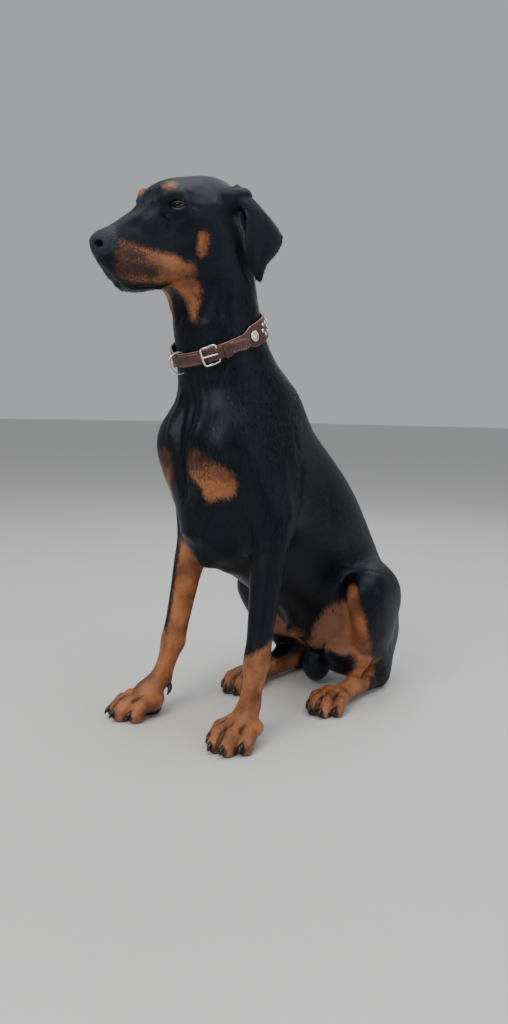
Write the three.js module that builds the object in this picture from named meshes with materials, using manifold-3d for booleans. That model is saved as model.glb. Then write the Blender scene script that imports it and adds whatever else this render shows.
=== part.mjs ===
import * as THREE from 'three';
import { mergeVertices } from 'three/addons/utils/BufferGeometryUtils.js';
import Module from 'manifold-3d';

// A sitting doberman pinscher, life size, in millimetres.
// The dog faces -Y, its left side is +X, and it sits on the plane z = 0.
// One smooth field describes the whole body. Each sub-part is a piece of that body between flat cuts.

const wasm = await Module();
wasm.setup();

// Driving dimensions

const GAP = 0.3;

const EYE_RADIUS = 12;
const LID = 3.4;
const EYE = { at: [33, 4, 1], look: [0.62, -0.78, 0.06], across: [0.78, 0.62, -0.14] };
const HEAD = { at: [0, -48, 797], pitch: -18, yaw: 0, roll: 4, scale: 1.0 };

const SIDES = { left: 1, right: -1 };
const HIND_SCALE = 0.88;

const FORELEG = {
  left: {
    scapula: [30, 166, 512], shoulder: [56, 42, 462], elbow: [96, 94, 338],
    carpus: [112, 52, 128], pastern: [108, 42, 62], paw: [105, 19, 0], turn: -11,
  },
  right: {
    scapula: [-30, 166, 512], shoulder: [-56, 42, 462], elbow: [-82, 94, 338],
    carpus: [-78, 38, 122], pastern: [-85, 18, 60], paw: [-93, -20, 0], turn: 14,
  },
};

const HINDLEG = {
  left: {
    hip: [56, 412, 162], knee: [132, 292, 206], hock: [86, 392, 25],
    ball: [102, 272, 21], paw: [106, 236, 0], turn: -8,
  },
  right: {
    hip: [-56, 404, 162], knee: [-104, 250, 186], hock: [-84, 364, 25],
    ball: [-76, 230, 21], paw: [-70, 196, 0], turn: -14,
  },
};

// Toes across a forepaw: sideways, lengthways and radius
const TOES = [[-27, 1, 12.5], [-10, -19, 14], [10, -19, 14], [27, 1, 12.5]];

const TAIL_ROOT = [0, 436, 112];
const TAIL_TIP = [0, 488, 92];
const SCROTUM = [0, 320, 40];
const SHEATH = [[0, 300, 118], [0, 236, 112]];

// Vectors

const add = (a, b) => [a[0] + b[0], a[1] + b[1], a[2] + b[2]];
const sub = (a, b) => [a[0] - b[0], a[1] - b[1], a[2] - b[2]];
const mul = (a, s) => [a[0] * s, a[1] * s, a[2] * s];
const dot = (a, b) => a[0] * b[0] + a[1] * b[1] + a[2] * b[2];
const mix = (a, b, t) => add(a, mul(sub(b, a), t));
const size = (a) => Math.sqrt(dot(a, a));
const unit = (a) => mul(a, 1 / size(a));
const cross = (a, b) => [a[1] * b[2] - a[2] * b[1], a[2] * b[0] - a[0] * b[2], a[0] * b[1] - a[1] * b[0]];
const rad = (d) => d * Math.PI / 180;

// Fields: a field gives the distance of a point from a form, less than zero inside it

function cone(a, b, ra, rb) {
  const [ax, ay, az] = a;
  const [bx, by, bz] = sub(b, a);
  const l2 = bx * bx + by * by + bz * bz;
  const rr = ra - rb;
  const a2 = l2 - rr * rr;
  const il2 = 1 / l2;
  const f = (x, y, z) => {
    const px = x - ax, py = y - ay, pz = z - az;
    const along = px * bx + py * by + pz * bz;
    const past = along - l2;
    const qx = px * l2 - bx * along, qy = py * l2 - by * along, qz = pz * l2 - bz * along;
    const x2 = qx * qx + qy * qy + qz * qz;
    const y2 = along * along * l2, z2 = past * past * l2;
    const k = Math.sign(rr) * rr * rr * x2;
    if (Math.sign(past) * a2 * z2 > k) return Math.sqrt(x2 + z2) * il2 - rb;
    if (Math.sign(along) * a2 * y2 < k) return Math.sqrt(x2 + y2) * il2 - ra;
    return (Math.sqrt(x2 * a2 * il2) + along * rr) * il2 - ra;
  };
  return within(f, mix(a, b, 0.5), Math.sqrt(l2) / 2 + Math.max(ra, rb));
}

// An ellipsoid with its axes along u, v and their cross product
function egg(c, r, u = [1, 0, 0], v = [0, 1, 0]) {
  const e0 = unit(u);
  const e2 = unit(cross(e0, v));
  const e1 = cross(e2, e0);
  const m = [mul(e0, 1 / r[0]), mul(e1, 1 / r[1]), mul(e2, 1 / r[2])];
  const [[a0, a1, a2], [b0, b1, b2], [c0, c1, c2]] = m;
  const ir = r.map((q) => 1 / q);
  const rmin = Math.min(...r);
  const f = (x, y, z) => {
    const px = x - c[0], py = y - c[1], pz = z - c[2];
    const p = a0 * px + a1 * py + a2 * pz;
    const q = b0 * px + b1 * py + b2 * pz;
    const s = c0 * px + c1 * py + c2 * pz;
    const k0 = Math.sqrt(p * p + q * q + s * s);
    if (k0 < 1e-6) return -rmin;
    const k1 = Math.hypot(p * ir[0], q * ir[1], s * ir[2]);
    return k0 * (k0 - 1) / k1;
  };
  return within(f, c, Math.max(...r));
}

// A form made narrower by s along the unit direction d through the point o
function flat(f, o, d, s) {
  const n = unit(d);
  const g = (x, y, z) => {
    const t = ((x - o[0]) * n[0] + (y - o[1]) * n[1] + (z - o[2]) * n[2]) * (1 / s - 1);
    return f(x + n[0] * t, y + n[1] * t, z + n[2] * t) * Math.min(1, s);
  };
  return within(g, f.c, f.r);
}

const blend = (a, b, k) => {
  const h = Math.max(k - Math.abs(a - b), 0) / k;
  return Math.min(a, b) - h * h * k * 0.25;
};

const carve = (a, b, k) => -blend(-a, b, k);

// The forms of a list joined softly, each by its own width of blend; one that lies too far off is skipped
function join(list) {
  const items = list.map(([f, k]) => ({ f, k, c: f.c, r: f.r }));
  const field = (x, y, z) => {
    let d = 1e3;
    for (const { f, k, c, r } of items) {
      if (c) {
        const reach = d + k + r;
        const px = x - c[0], py = y - c[1], pz = z - c[2];
        if (reach < 0 || px * px + py * py + pz * pz > reach * reach) continue;
      }
      const v = f(x, y, z);
      d = k > 0 ? blend(d, v, k) : Math.min(d, v);
    }
    return d;
  };
  return bound(field, list.map(([f]) => f));
}

// Every form carries a ball that holds it
function within(f, c, r) {
  f.c = c;
  f.r = r;
  return f;
}

function bound(f, forms) {
  const c = mul(forms.reduce((t, g) => add(t, g.c), [0, 0, 0]), 1 / forms.length);
  return within(f, c, Math.max(...forms.map((g) => size(sub(g.c, c)) + g.r)));
}

// A local frame: its points and directions are turned, scaled and placed in the body's frame
function frameAt({ at, yaw = 0, pitch = 0, roll = 0, scale = 1, flip = 1 }) {
  const turn = new THREE.Euler(rad(-pitch), rad(roll), rad(yaw), 'ZXY');
  const m = new THREE.Matrix4().makeRotationFromEuler(turn);
  const dir = (v) => new THREE.Vector3(v[0] * flip, v[1], v[2]).applyMatrix4(m).toArray();
  return {
    scale,
    dir,
    at: (v) => add(at, mul(dir(v), scale)),
    cone: (f, a, b, ra, rb) => cone(f.at(a), f.at(b), ra * f.scale, rb * f.scale),
  };
}

const lim = (f, a, b, ra, rb) => cone(f.at(a), f.at(b), ra * f.scale, rb * f.scale);
const ovo = (f, c, r, u = [1, 0, 0], v = [0, 1, 0]) => egg(f.at(c), mul(r, f.scale), f.dir(u), f.dir(v));

// Trunk

function trunkField() {
  const lean = [0, 0.706, -0.708];
  const across = [1, 0, 0];
  const parts = [
    [egg([0, 172, 370], [90, 196, 146], across, lean), 0],
    [egg([0, 288, 274], [88, 178, 130], across, lean), 60],
    [egg([0, 372, 150], [84, 92, 110], across, [0, 0.9, -0.4]), 60],
    [cone([0, 128, 492], [0, 180, 480], 62, 50), 40],
    [cone([0, 396, 250], [0, 412, 130], 34, 34), 40],
    [egg([0, 62, 330], [44, 58, 84], across, [0, 0.9, -0.4]), 50],
  ];
  for (const [name, s] of Object.entries(SIDES)) {
    const { scapula, shoulder, elbow } = FORELEG[name];
    parts.push([egg([s * 34, 34, 428], [40, 46, 66], [1, s * -0.3, 0], [0, 1, 0.2]), 34]);
    parts.push([flat(cone(scapula, shoulder, 46, 46), scapula, [1, 0, 0], 0.75), 36]);
    parts.push([cone(shoulder, elbow, 42, 34), 34]);
    parts.push([egg(mix(scapula, elbow, 0.6), [34, 58, 84], [1, 0, 0], [0, 1, 0.5]), 40]);
  }
  return join(parts);
}

// Neck

const NECK = [
  [[0, 104, 520], 88], [[0, 74, 585], 78], [[0, 59, 640], 72], [[0, 47, 700], 71], [[0, 42, 752], 64],
];

function neckField() {
  const parts = [];
  for (let i = 0; i + 1 < NECK.length; i++) {
    const [a, ra] = NECK[i];
    const [b, rb] = NECK[i + 1];
    parts.push([flat(cone(a, b, ra, rb), a, [1, 0, 0], 0.92), 8]);
  }
  return join(parts);
}

// Head, in its own frame: the origin lies midway between the eyes, -y is forward

const headFrame = frameAt(HEAD);
const sideFrame = (s) => frameAt({ ...HEAD, flip: s });

function headField() {
  const f = headFrame;
  const parts = [
    [ovo(f, [0, 62, -6], [49, 82, 45]), 0],
    [ovo(f, [0, 12, 8], [36, 42, 29]), 20],
    [flat(lim(f, [0, -16, -46], [0, -106, -42], 38, 28), f.at([0, 0, 0]), f.dir([1, 0, 0]), 0.7), 16],
    [lim(f, [0, -30, -26], [0, -120, -29], 19, 16.5), 12],
    [lim(f, [0, 60, -40], [0, 30, -82], 46, 38), 30],
    [ovo(f, [0, -78, -96], [17, 22, 13]), 8],
  ];
  for (const s of [1, -1]) {
    const g = sideFrame(s);
    parts.push([ovo(g, [28, -1, 15], [15, 21, 11]), 14]);
    parts.push([lim(g, [38, 8, -16], [42, 52, -14], 12, 14), 18]);
    parts.push([lim(g, [26, 48, -46], [13, -66, -50], 25, 16), 24]);
    parts.push([ovo(g, [13, -98, -62], [12.5, 30, 26], [1, 0, 0.25]), 9]);
    parts.push([ovo(g, [19, -66, -72], [13.5, 38, 28], [1, -0.1, 0.25]), 14]);
    parts.push([ovo(g, [27, -42, -80], [10, 30, 24], [1, -0.1, 0.2]), 16]);
    parts.push([lim(g, [7, -82, -92], [26, 20, -90], 12, 18), 8]);
  }
  return carveHead(join(parts));
}

// Lids over the eyes, the corner below the brow, the root of each ear and the hollow in front of it
function carveHead(skull) {
  const cuts = [];
  const added = [];
  for (const s of [1, -1]) {
    const g = sideFrame(s);
    const eye = EYE.at;
    const lid = EYE_RADIUS + LID;
    added.push([ovo(g, eye, [lid, lid, lid - 0.8]), 7]);
    added.push([lim(g, [38, 92, 0], [46, 118, -4], 15, 16), 12]);
    cuts.push([lim(g, add(eye, [-13, -10, -3]), add(eye, [-16, -17, -9]), 3.5, 2.5), 6]);
    cuts.push([ovo(g, [68, 86, -26], [11, 13, 22]), 6]);
  }
  const shape = join([[skull, 0], ...added]);
  const f = (x, y, z) => {
    let d = shape(x, y, z);
    for (const [c, k] of cuts) {
      const r = c.r + 14;
      const px = x - c.c[0], py = y - c.c[1], pz = z - c.c[2];
      if (px * px + py * py + pz * pz < r * r) d = carve(d, c(x, y, z), k);
    }
    return d;
  };
  return within(f, shape.c, shape.r);
}

// Legs

function foreleg(name) {
  const { elbow, carpus, pastern, paw } = FORELEG[name];
  const s = SIDES[name];
  const arm = mix(elbow, carpus, 0.35);
  return join([
    [cone(elbow, arm, 34, 29), 0],
    [cone(arm, carpus, 29, 22), 6],
    [cone(carpus, pastern, 22, 18), 6],
    [cone(add(elbow, [0, 12, 8]), add(elbow, [s * -2, 26, -2]), 18, 14), 12],
    [egg(add(carpus, [0, -2, 2]), [25, 24, 26]), 8],
    [egg(add(carpus, [0, 20, -12]), [11, 10, 13]), 5],
    [cone(pastern, add(paw, [0, 12, 36]), 18, 22), 8],
  ]);
}

function pawField(at, turn, scale) {
  const f = frameAt({ at, yaw: -turn, scale });
  const parts = [[ovo(f, [0, 12, 26], [30, 30, 22]), 0]];
  for (const [x, y, r] of TOES) {
    const fan = x * 0.12;
    parts.push([lim(f, [x * 0.8, y + 18, 27], [x, y - 8, 24.5], r, r), 5]);
    parts.push([lim(f, [x, y - 8, 24.5], [x + fan, y - 23, 12.5], r, r - 1.5), 3]);
    parts.push([ovo(f, [x + fan, y - 20, 7], [r - 1.5, 13, 8.6]), 2]);
  }
  parts.push([ovo(f, [0, 19, 9], [22, 18, 11]), 4]);
  return join(parts);
}

function hindleg(name) {
  const { hip, knee, hock, ball } = HINDLEG[name];
  const s = SIDES[name];
  const thighAxis = sub(knee, hip);
  const calf = mix(knee, hock, 0.4);
  return join([
    [egg(add(mix(hip, knee, 0.45), [s * 4, 1, -21]), [107, 46, 82], thighAxis, [1, 0, 0]), 0],
    [cone(knee, mix(hip, knee, 0.55), 36, 60), 20],
    [cone(knee, calf, 34, 38), 20],
    [cone(calf, hock, 38, 20), 14],
    [cone(mix(hip, hock, 0.4), add(hock, [0, 6, 8]), 52, 18), 26],
    [egg(hock, [19, 25, 24]), 10],
    [cone(hock, ball, 20, 18), 8],
  ]);
}

const fields = {
  trunk: trunkField(),
  neck: neckField(),
  head: headField(),
};

function bodyField() {
  const parts = [[fields.trunk, 0], [fields.neck, 40], [fields.head, 22]];
  for (const name of Object.keys(SIDES)) {
    const fore = FORELEG[name];
    const hind = HINDLEG[name];
    parts.push([foreleg(name), 26]);
    parts.push([pawField(fore.paw, fore.turn, 1), 6]);
    parts.push([hindleg(name), 22]);
    parts.push([pawField(hind.paw, hind.turn, HIND_SCALE), 6]);
  }
  parts.push([cone(TAIL_ROOT, TAIL_TIP, 24, 15), 14]);
  parts.push([egg(SCROTUM, [25, 30, 34]), 10]);
  parts.push([cone(...SHEATH, 22, 15), 14]);
  return join(parts);
}

const body = bodyField();

// Marching tetrahedra over a box, which always gives a closed surface

const CORNERS = [[0, 0, 0], [1, 0, 0], [1, 1, 0], [0, 1, 0], [0, 0, 1], [1, 0, 1], [1, 1, 1], [0, 1, 1]];
const TETS = [[0, 5, 1, 6], [0, 1, 2, 6], [0, 2, 3, 6], [0, 3, 7, 6], [0, 7, 4, 6], [0, 4, 5, 6]];

function polygonise(field, lo, hi, h) {
  const n = [0, 1, 2].map((i) => Math.ceil((hi[i] - lo[i]) / h) + 1);
  const [nx, ny, nz] = n;
  const val = new Float32Array(nx * ny * nz);
  const id = (i, j, k) => i + nx * (j + ny * k);
  for (let k = 0; k < nz; k++) for (let j = 0; j < ny; j++) for (let i = 0; i < nx; i++) {
    const edge = i === 0 || j === 0 || k === 0 || i === nx - 1 || j === ny - 1 || k === nz - 1;
    let v = field(lo[0] + i * h, lo[1] + j * h, lo[2] + k * h);
    if (edge) v = Math.max(v, 0.4 * h);
    if (Math.abs(v) < 1e-4) v = 1e-4;
    val[id(i, j, k)] = v;
  }
  const verts = [];
  const tris = [];
  const seen = new Map();
  const total = nx * ny * nz;
  const point = (a, b) => {
    const key = a < b ? a * total + b : b * total + a;
    let v = seen.get(key);
    if (v === undefined) {
      const t = val[a] / (val[a] - val[b]);
      const ia = a % nx, ja = Math.floor(a / nx) % ny, ka = Math.floor(a / (nx * ny));
      const ib = b % nx, jb = Math.floor(b / nx) % ny, kb = Math.floor(b / (nx * ny));
      v = verts.length / 3;
      verts.push(lo[0] + h * (ia + (ib - ia) * t), lo[1] + h * (ja + (jb - ja) * t), lo[2] + h * (ka + (kb - ka) * t));
      seen.set(key, v);
    }
    return v;
  };
  const corner = new Array(8);
  for (let k = 0; k < nz - 1; k++) for (let j = 0; j < ny - 1; j++) for (let i = 0; i < nx - 1; i++) {
    let inside = 0;
    for (let c = 0; c < 8; c++) {
      corner[c] = id(i + CORNERS[c][0], j + CORNERS[c][1], k + CORNERS[c][2]);
      if (val[corner[c]] < 0) inside++;
    }
    if (inside === 0 || inside === 8) continue;
    for (const tet of TETS) cutTet(tet.map((c) => corner[c]), val, point, tris);
  }
  return { verts, tris };
}

// The surface inside one tetrahedron; an odd order of its corners turns a face round
function cutTet(t, val, point, tris) {
  const low = [0, 1, 2, 3].filter((q) => val[t[q]] < 0);
  const high = [0, 1, 2, 3].filter((q) => val[t[q]] >= 0);
  if (!low.length || !high.length) return;
  const face = (a, b, c, odd) => tris.push(a, odd ? c : b, odd ? b : c);
  if (low.length !== 2) {
    const lone = low.length === 1 ? low[0] : high[0];
    const [a, b, c] = [0, 1, 2, 3].filter((q) => q !== lone).map((q) => point(t[lone], t[q]));
    face(a, b, c, (lone % 2 === 1) === (low.length === 1));
    return;
  }
  const [i, j] = low;
  const [k, l] = high;
  const odd = (i === 0 && j === 2) || (i === 1 && j === 3);
  const ring = [[i, k], [i, l], [j, l], [j, k]].map(([a, b]) => point(t[a], t[b]));
  face(ring[0], ring[1], ring[2], odd);
  face(ring[0], ring[2], ring[3], odd);
}

// Edge collapse by quadric error, which keeps the surface closed

function symmetric(n, d) {
  const [a, b, c] = n;
  return [a * a, a * b, a * c, a * d, b * b, b * c, b * d, c * c, c * d, d * d];
}

function costAt(q, x, y, z) {
  return q[0] * x * x + 2 * q[1] * x * y + 2 * q[2] * x * z + 2 * q[3] * x + q[4] * y * y
    + 2 * q[5] * y * z + 2 * q[6] * y + q[7] * z * z + 2 * q[8] * z + q[9];
}

// The point of least error, or null where the quadric is nearly flat
function bestPoint(q) {
  const [a, b, c, d, e, f, g, h, i] = q;
  const det = a * (e * h - f * f) - b * (b * h - f * c) + c * (b * f - e * c);
  if (Math.abs(det) < 1e-3 * (a + e + h) ** 3 / 27) return null;
  return [
    -(d * (e * h - f * f) - b * (g * h - f * i) + c * (g * f - e * i)) / det,
    -(a * (g * h - i * f) - d * (b * h - f * c) + c * (b * i - g * c)) / det,
    -(a * (e * i - f * g) - b * (b * i - g * c) + d * (b * f - e * c)) / det,
  ];
}

class Heap {
  constructor() { this.items = []; }

  push(item) {
    const a = this.items;
    let i = a.push(item) - 1;
    while (i > 0) {
      const up = (i - 1) >> 1;
      if (a[up][0] <= a[i][0]) break;
      [a[up], a[i]] = [a[i], a[up]];
      i = up;
    }
  }

  pop() {
    const a = this.items;
    const top = a[0];
    const last = a.pop();
    if (!a.length) return top;
    a[0] = last;
    let i = 0;
    for (;;) {
      const l = 2 * i + 1;
      if (l >= a.length) return top;
      const r = l + 1 < a.length && a[l + 1][0] < a[l][0] ? l + 1 : l;
      if (a[i][0] <= a[r][0]) return top;
      [a[r], a[i]] = [a[i], a[r]];
      i = r;
    }
  }
}

// A point brought onto the surface of a field by a short step along its slope
function onto(field, [x, y, z]) {
  const e = 0.2;
  const d = field(x, y, z);
  const g = [field(x + e, y, z) - d, field(x, y + e, z) - d, field(x, y, z + e) - d];
  const slope = size(g) / e;
  if (slope < 0.2) return [x, y, z];
  const step = Math.max(-2, Math.min(2, d / slope));
  return sub([x, y, z], mul(unit(g), step));
}

class Surface {
  constructor({ verts, tris }) {
    this.p = [];
    for (let i = 0; i < verts.length; i += 3) this.p.push([verts[i], verts[i + 1], verts[i + 2]]);
    this.t = [];
    for (let i = 0; i < tris.length; i += 3) this.t.push([tris[i], tris[i + 1], tris[i + 2]]);
    this.around = this.p.map(() => new Set());
    this.stamp = new Uint32Array(this.p.length);
    this.live = this.t.length;
    this.t.forEach((t, i) => t.forEach((v) => this.around[v].add(i)));
  }

  // Evens out the corners along the surface and sets them back on the field
  relax(field, rounds) {
    for (let k = 0; k < rounds; k++) {
      const next = this.p.map((p, v) => {
        const near = [...this.ring(v)];
        const mean = mul(near.reduce((t, w) => add(t, this.p[w]), [0, 0, 0]), 1 / near.length);
        return onto(field, mix(p, mean, 0.7));
      });
      this.p = next;
    }
    return this;
  }

  // The error of each corner, summed from its faces
  weigh() {
    this.q = this.p.map(() => new Float64Array(10));
    for (const t of this.t) {
      const n = cross(sub(this.p[t[1]], this.p[t[0]]), sub(this.p[t[2]], this.p[t[0]]));
      const area = size(n);
      if (area < 1e-9) continue;
      const m = mul(n, 1 / area);
      const k = symmetric(m, -dot(m, this.p[t[0]]));
      for (const v of t) for (let j = 0; j < 10; j++) this.q[v][j] += k[j] * area;
    }
    return this;
  }

  ring(v) {
    const out = new Set();
    for (const i of this.around[v]) for (const w of this.t[i]) if (w !== v) out.add(w);
    return out;
  }

  propose(heap, a, b) {
    const q = this.q[a].map((v, i) => v + this.q[b][i]);
    const mid = mix(this.p[a], this.p[b], 0.5);
    const len = size(sub(this.p[a], this.p[b]));
    let at = bestPoint(q);
    if (!at || size(sub(at, mid)) > 2 * len) at = mid;
    const cost = costAt(q, ...at) + 1e-4 * len ** 4;
    heap.push([cost, a, b, this.stamp[a], this.stamp[b], at]);
  }

  // A face may not turn over or grow thin when one of its corners moves
  bends(v, skip, at) {
    for (const i of this.around[v]) {
      const t = this.t[i];
      if (t.includes(skip)) continue;
      const [a, b, c] = t.map((w) => this.p[w]);
      const [d, e, f] = t.map((w) => (w === v ? at : this.p[w]));
      const old = cross(sub(b, a), sub(c, a));
      const now = cross(sub(e, d), sub(f, d));
      const area = size(now);
      const edge = Math.max(size(sub(e, d)), size(sub(f, d)), size(sub(f, e)));
      if (dot(old, now) < 0.2 * size(old) * area || area < 0.02 * edge * edge) return true;
    }
    return false;
  }

  collapse(a, b, at) {
    const shared = [...this.around[a]].filter((i) => this.around[b].has(i));
    const ringB = this.ring(b);
    const common = [...this.ring(a)].filter((v) => ringB.has(v));
    if (shared.length !== 2 || common.length !== 2) return false;
    if (this.bends(a, b, at) || this.bends(b, a, at)) return false;
    for (const i of shared) {
      for (const v of this.t[i]) this.around[v].delete(i);
      this.t[i] = null;
    }
    for (const i of this.around[b]) {
      this.t[i] = this.t[i].map((v) => (v === b ? a : v));
      this.around[a].add(i);
    }
    this.around[b] = new Set();
    this.p[a] = at;
    for (let j = 0; j < 10; j++) this.q[a][j] += this.q[b][j];
    this.stamp[a]++;
    this.stamp[b]++;
    this.live -= 2;
    return true;
  }

  // Collapses the cheapest edges; a pass that gets stuck is followed by another over what is left
  thin(target) {
    let before = Infinity;
    while (this.live > target && this.live < 0.98 * before) {
      before = this.live;
      this.pass(target);
    }
    return this;
  }

  pass(target) {
    const heap = new Heap();
    for (const t of this.t) {
      if (!t) continue;
      t.forEach((v, i) => { if (v < t[(i + 1) % 3]) this.propose(heap, v, t[(i + 1) % 3]); });
    }
    while (this.live > target && heap.items.length) {
      const [, a, b, sa, sb, at] = heap.pop();
      if (sa !== this.stamp[a] || sb !== this.stamp[b]) continue;
      if (!this.collapse(a, b, at)) continue;
      for (const w of this.ring(a)) this.propose(heap, a, w);
    }
  }

  solid() {
    const used = new Map();
    const verts = [];
    const tris = [];
    for (const t of this.t) {
      if (!t) continue;
      for (const v of t) {
        if (!used.has(v)) {
          used.set(v, verts.length / 3);
          verts.push(...this.p[v]);
        }
        tris.push(used.get(v));
      }
    }
    return solidFrom(verts, tris);
  }
}

// Solids

function solidFrom(verts, tris) {
  const mesh = new wasm.Mesh({
    numProp: 3, vertProperties: new Float32Array(verts), triVerts: new Uint32Array(tris),
  });
  return new wasm.Manifold(mesh);
}

function solidOf(geometry, matrix = null) {
  let g = geometry.clone();
  g.deleteAttribute('normal');
  g.deleteAttribute('uv');
  if (matrix) g.applyMatrix4(matrix);
  g = mergeVertices(g, 1e-4);
  return solidFrom(g.attributes.position.array, g.index.array);
}

function largest(solid) {
  const pieces = solid.decompose();
  return pieces.reduce((a, b) => (a.volume() > b.volume() ? a : b));
}

const FAR = 1200;

// The half of space beyond a point, in the direction n, moved outwards by a slack
function beyond([p, n], slack) {
  const dir = new THREE.Vector3(...unit(n));
  const m = new THREE.Matrix4().makeRotationFromQuaternion(
    new THREE.Quaternion().setFromUnitVectors(new THREE.Vector3(0, 0, 1), dir),
  );
  m.setPosition(new THREE.Vector3(...p).addScaledVector(dir, FAR / 2 - slack));
  return solidOf(new THREE.BoxGeometry(FAR, FAR, FAR), m);
}

function zone(planes, slack) {
  return planes.map((plane) => beyond(plane, slack)).reduce((a, b) => a.intersect(b));
}

// Sub-parts: each is the part of the body inside its zone, a space between flat cuts

const LEFT_OF = (x) => [[x, 0, 0], [1, 0, 0]];
const RIGHT_OF = (x) => [[x, 0, 0], [-1, 0, 0]];
const BELOW = (z) => [[0, 0, z], [0, 0, -1]];
const BEHIND = (y) => [[0, y, 0], [0, 1, 0]];
const BEFORE = (y) => [[0, y, 0], [0, -1, 0]];
const aside = (s, x) => (s > 0 ? LEFT_OF(x) : RIGHT_OF(-x));

const NOSE_ZONE = [
  [headFrame.at([0, -102, -24]), headFrame.dir([0, -0.96, 0.28])],
  [headFrame.at([0, -130, -45]), headFrame.dir([0, -0.2, 1])],
];
const HEAD_ZONE = [[[0, 40, 735], [0, -0.69, 0.73]]];
const NECK_ZONE = [[[0, 90, 560], [0, -0.3, 0.95]]];
const TAIL_ZONE = [[[0, 452, 100], [0, 1, -0.2]], LEFT_OF(-34), RIGHT_OF(34)];
const SCROTUM_ZONE = [BELOW(48), LEFT_OF(-30), RIGHT_OF(30), BEHIND(282), BEFORE(358)];

const FOOT_INSIDE = {
  left: [[60, 236, 0], [1, 0, 0]],
  right: [[-38, 180, 0], [-1, -0.12, 0]],
};

function legZones(name) {
  const s = SIDES[name];
  const { knee, hip, hock } = HINDLEG[name];
  const mid = mix(hip, hock, 0.5);
  const fold = sub(mid, knee);
  const thigh = [[[s * 66, 300, 240], [s * 0.93, 0.12, -0.35]], aside(s, 24), BEHIND(150)];
  const forepaw = [BELOW(56), aside(s, 20), BEFORE(120)];
  const foreleg = [BELOW(288), aside(s, 60), BEFORE(122)];
  const hindfoot = [
    FOOT_INSIDE[name], BELOW(66), BEHIND(125), [[hock[0], hock[1] - 40, 58], [0, -0.55, -0.83]],
  ];
  const shank = [...thigh, [mix(knee, mid, 0.5), [0, fold[2], -fold[1]]]];
  return { forepaw, foreleg, hindfoot, shank, thigh };
}

const ZONES = { left: legZones('left'), right: legZones('right') };

// Cuts the body to a zone, clear of the zones of the sub-parts beside it
function section({ zone: own, clear = [], lo, hi, cell, faces }) {
  const skin = new Surface(polygonise(body, lo, hi, cell)).relax(body, 4).weigh().thin(faces);
  let piece = skin.solid().intersect(beyond([[0, 0, 0], [0, 0, 1]], 0));
  if (own) piece = piece.intersect(zone(own, -GAP / 2));
  for (const other of clear) piece = piece.subtract(zone(other, GAP / 2));
  return largest(piece);
}

// Eyes, claws and ears

function ballAt(at, radius, across = 14) {
  const m = new THREE.Matrix4().setPosition(...at);
  return solidOf(new THREE.SphereGeometry(radius, across, Math.round(across * 0.7)), m);
}

// A closed horn along a path, with a radius at each of its points and a pole at each end
function horn(path, radii, sides, grow = 0) {
  const curve = new THREE.CatmullRomCurve3(path.map((p) => new THREE.Vector3(...p)));
  const steps = radii.length - 1;
  const frames = curve.computeFrenetFrames(steps, false);
  const verts = [];
  const tris = [];
  for (let i = 0; i <= steps; i++) {
    const c = curve.getPointAt(i / steps);
    for (let j = 0; j < sides; j++) {
      const a = 2 * Math.PI * j / sides;
      const p = c.clone().addScaledVector(frames.normals[i], (radii[i] + grow) * Math.cos(a))
        .addScaledVector(frames.binormals[i], (radii[i] + grow) * Math.sin(a));
      verts.push(p.x, p.y, p.z);
    }
  }
  const start = verts.length / 3;
  const first = curve.getPointAt(0).addScaledVector(frames.tangents[0], -0.4 * radii[0] - grow);
  const last = curve.getPointAt(1).addScaledVector(frames.tangents[steps], 0.6 * radii[steps] + grow);
  verts.push(...first.toArray(), ...last.toArray());
  for (let j = 0; j < sides; j++) {
    const k = (j + 1) % sides;
    tris.push(start, k, j, start + 1, steps * sides + j, steps * sides + k);
    for (let i = 0; i < steps; i++) {
      const [a, b, c, d] = [i * sides + j, i * sides + k, (i + 1) * sides + j, (i + 1) * sides + k];
      tris.push(a, b, d, a, d, c);
    }
  }
  return solidFrom(verts, tris);
}

const mul3 = (list, s) => list.map((v) => v * s);

const CLAW = [[0, -24, 18], [0, -32, 16.5], [0, -37, 12.5], [0, -39.5, 7]];
const CLAW_RADII = [3.8, 3.6, 2.9, 1.4];

function claws(at, turn, scale, grow) {
  const f = frameAt({ at, yaw: -turn, scale });
  return TOES.map(([x, y]) => {
    const path = CLAW.map(([cx, cy, cz]) => f.at([x * 1.12 + cx, y + cy, cz]));
    return horn(path, mul3(CLAW_RADII, scale), 6, grow);
  });
}

// The ear as rows from its root to its tip, each a curve with a front, a middle and a rear point
const EAR = [
  [[40, 98, 10], [48, 112, 22], [35, 126, 12]],
  [[53, 101, -3], [65, 118, 4], [48, 132, -5]],
  [[64, 100, -20], [79, 124, -17], [60, 145, -28]],
  [[71, 93, -39], [89, 126, -39], [70, 158, -52]],
  [[76, 80, -62], [96, 118, -60], [74, 164, -71]],
  [[79, 73, -82], [97, 100, -82], [76, 145, -88]],
  [[81, 76, -102], [92, 90, -102], [79, 112, -104]],
  [[82, 89, -124], [84, 92, -126], [82, 97, -123]],
];
const EAR_THICK = 3.4;
const EAR_ACROSS = 5;
const EAR_ALONG = 13;

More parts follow.
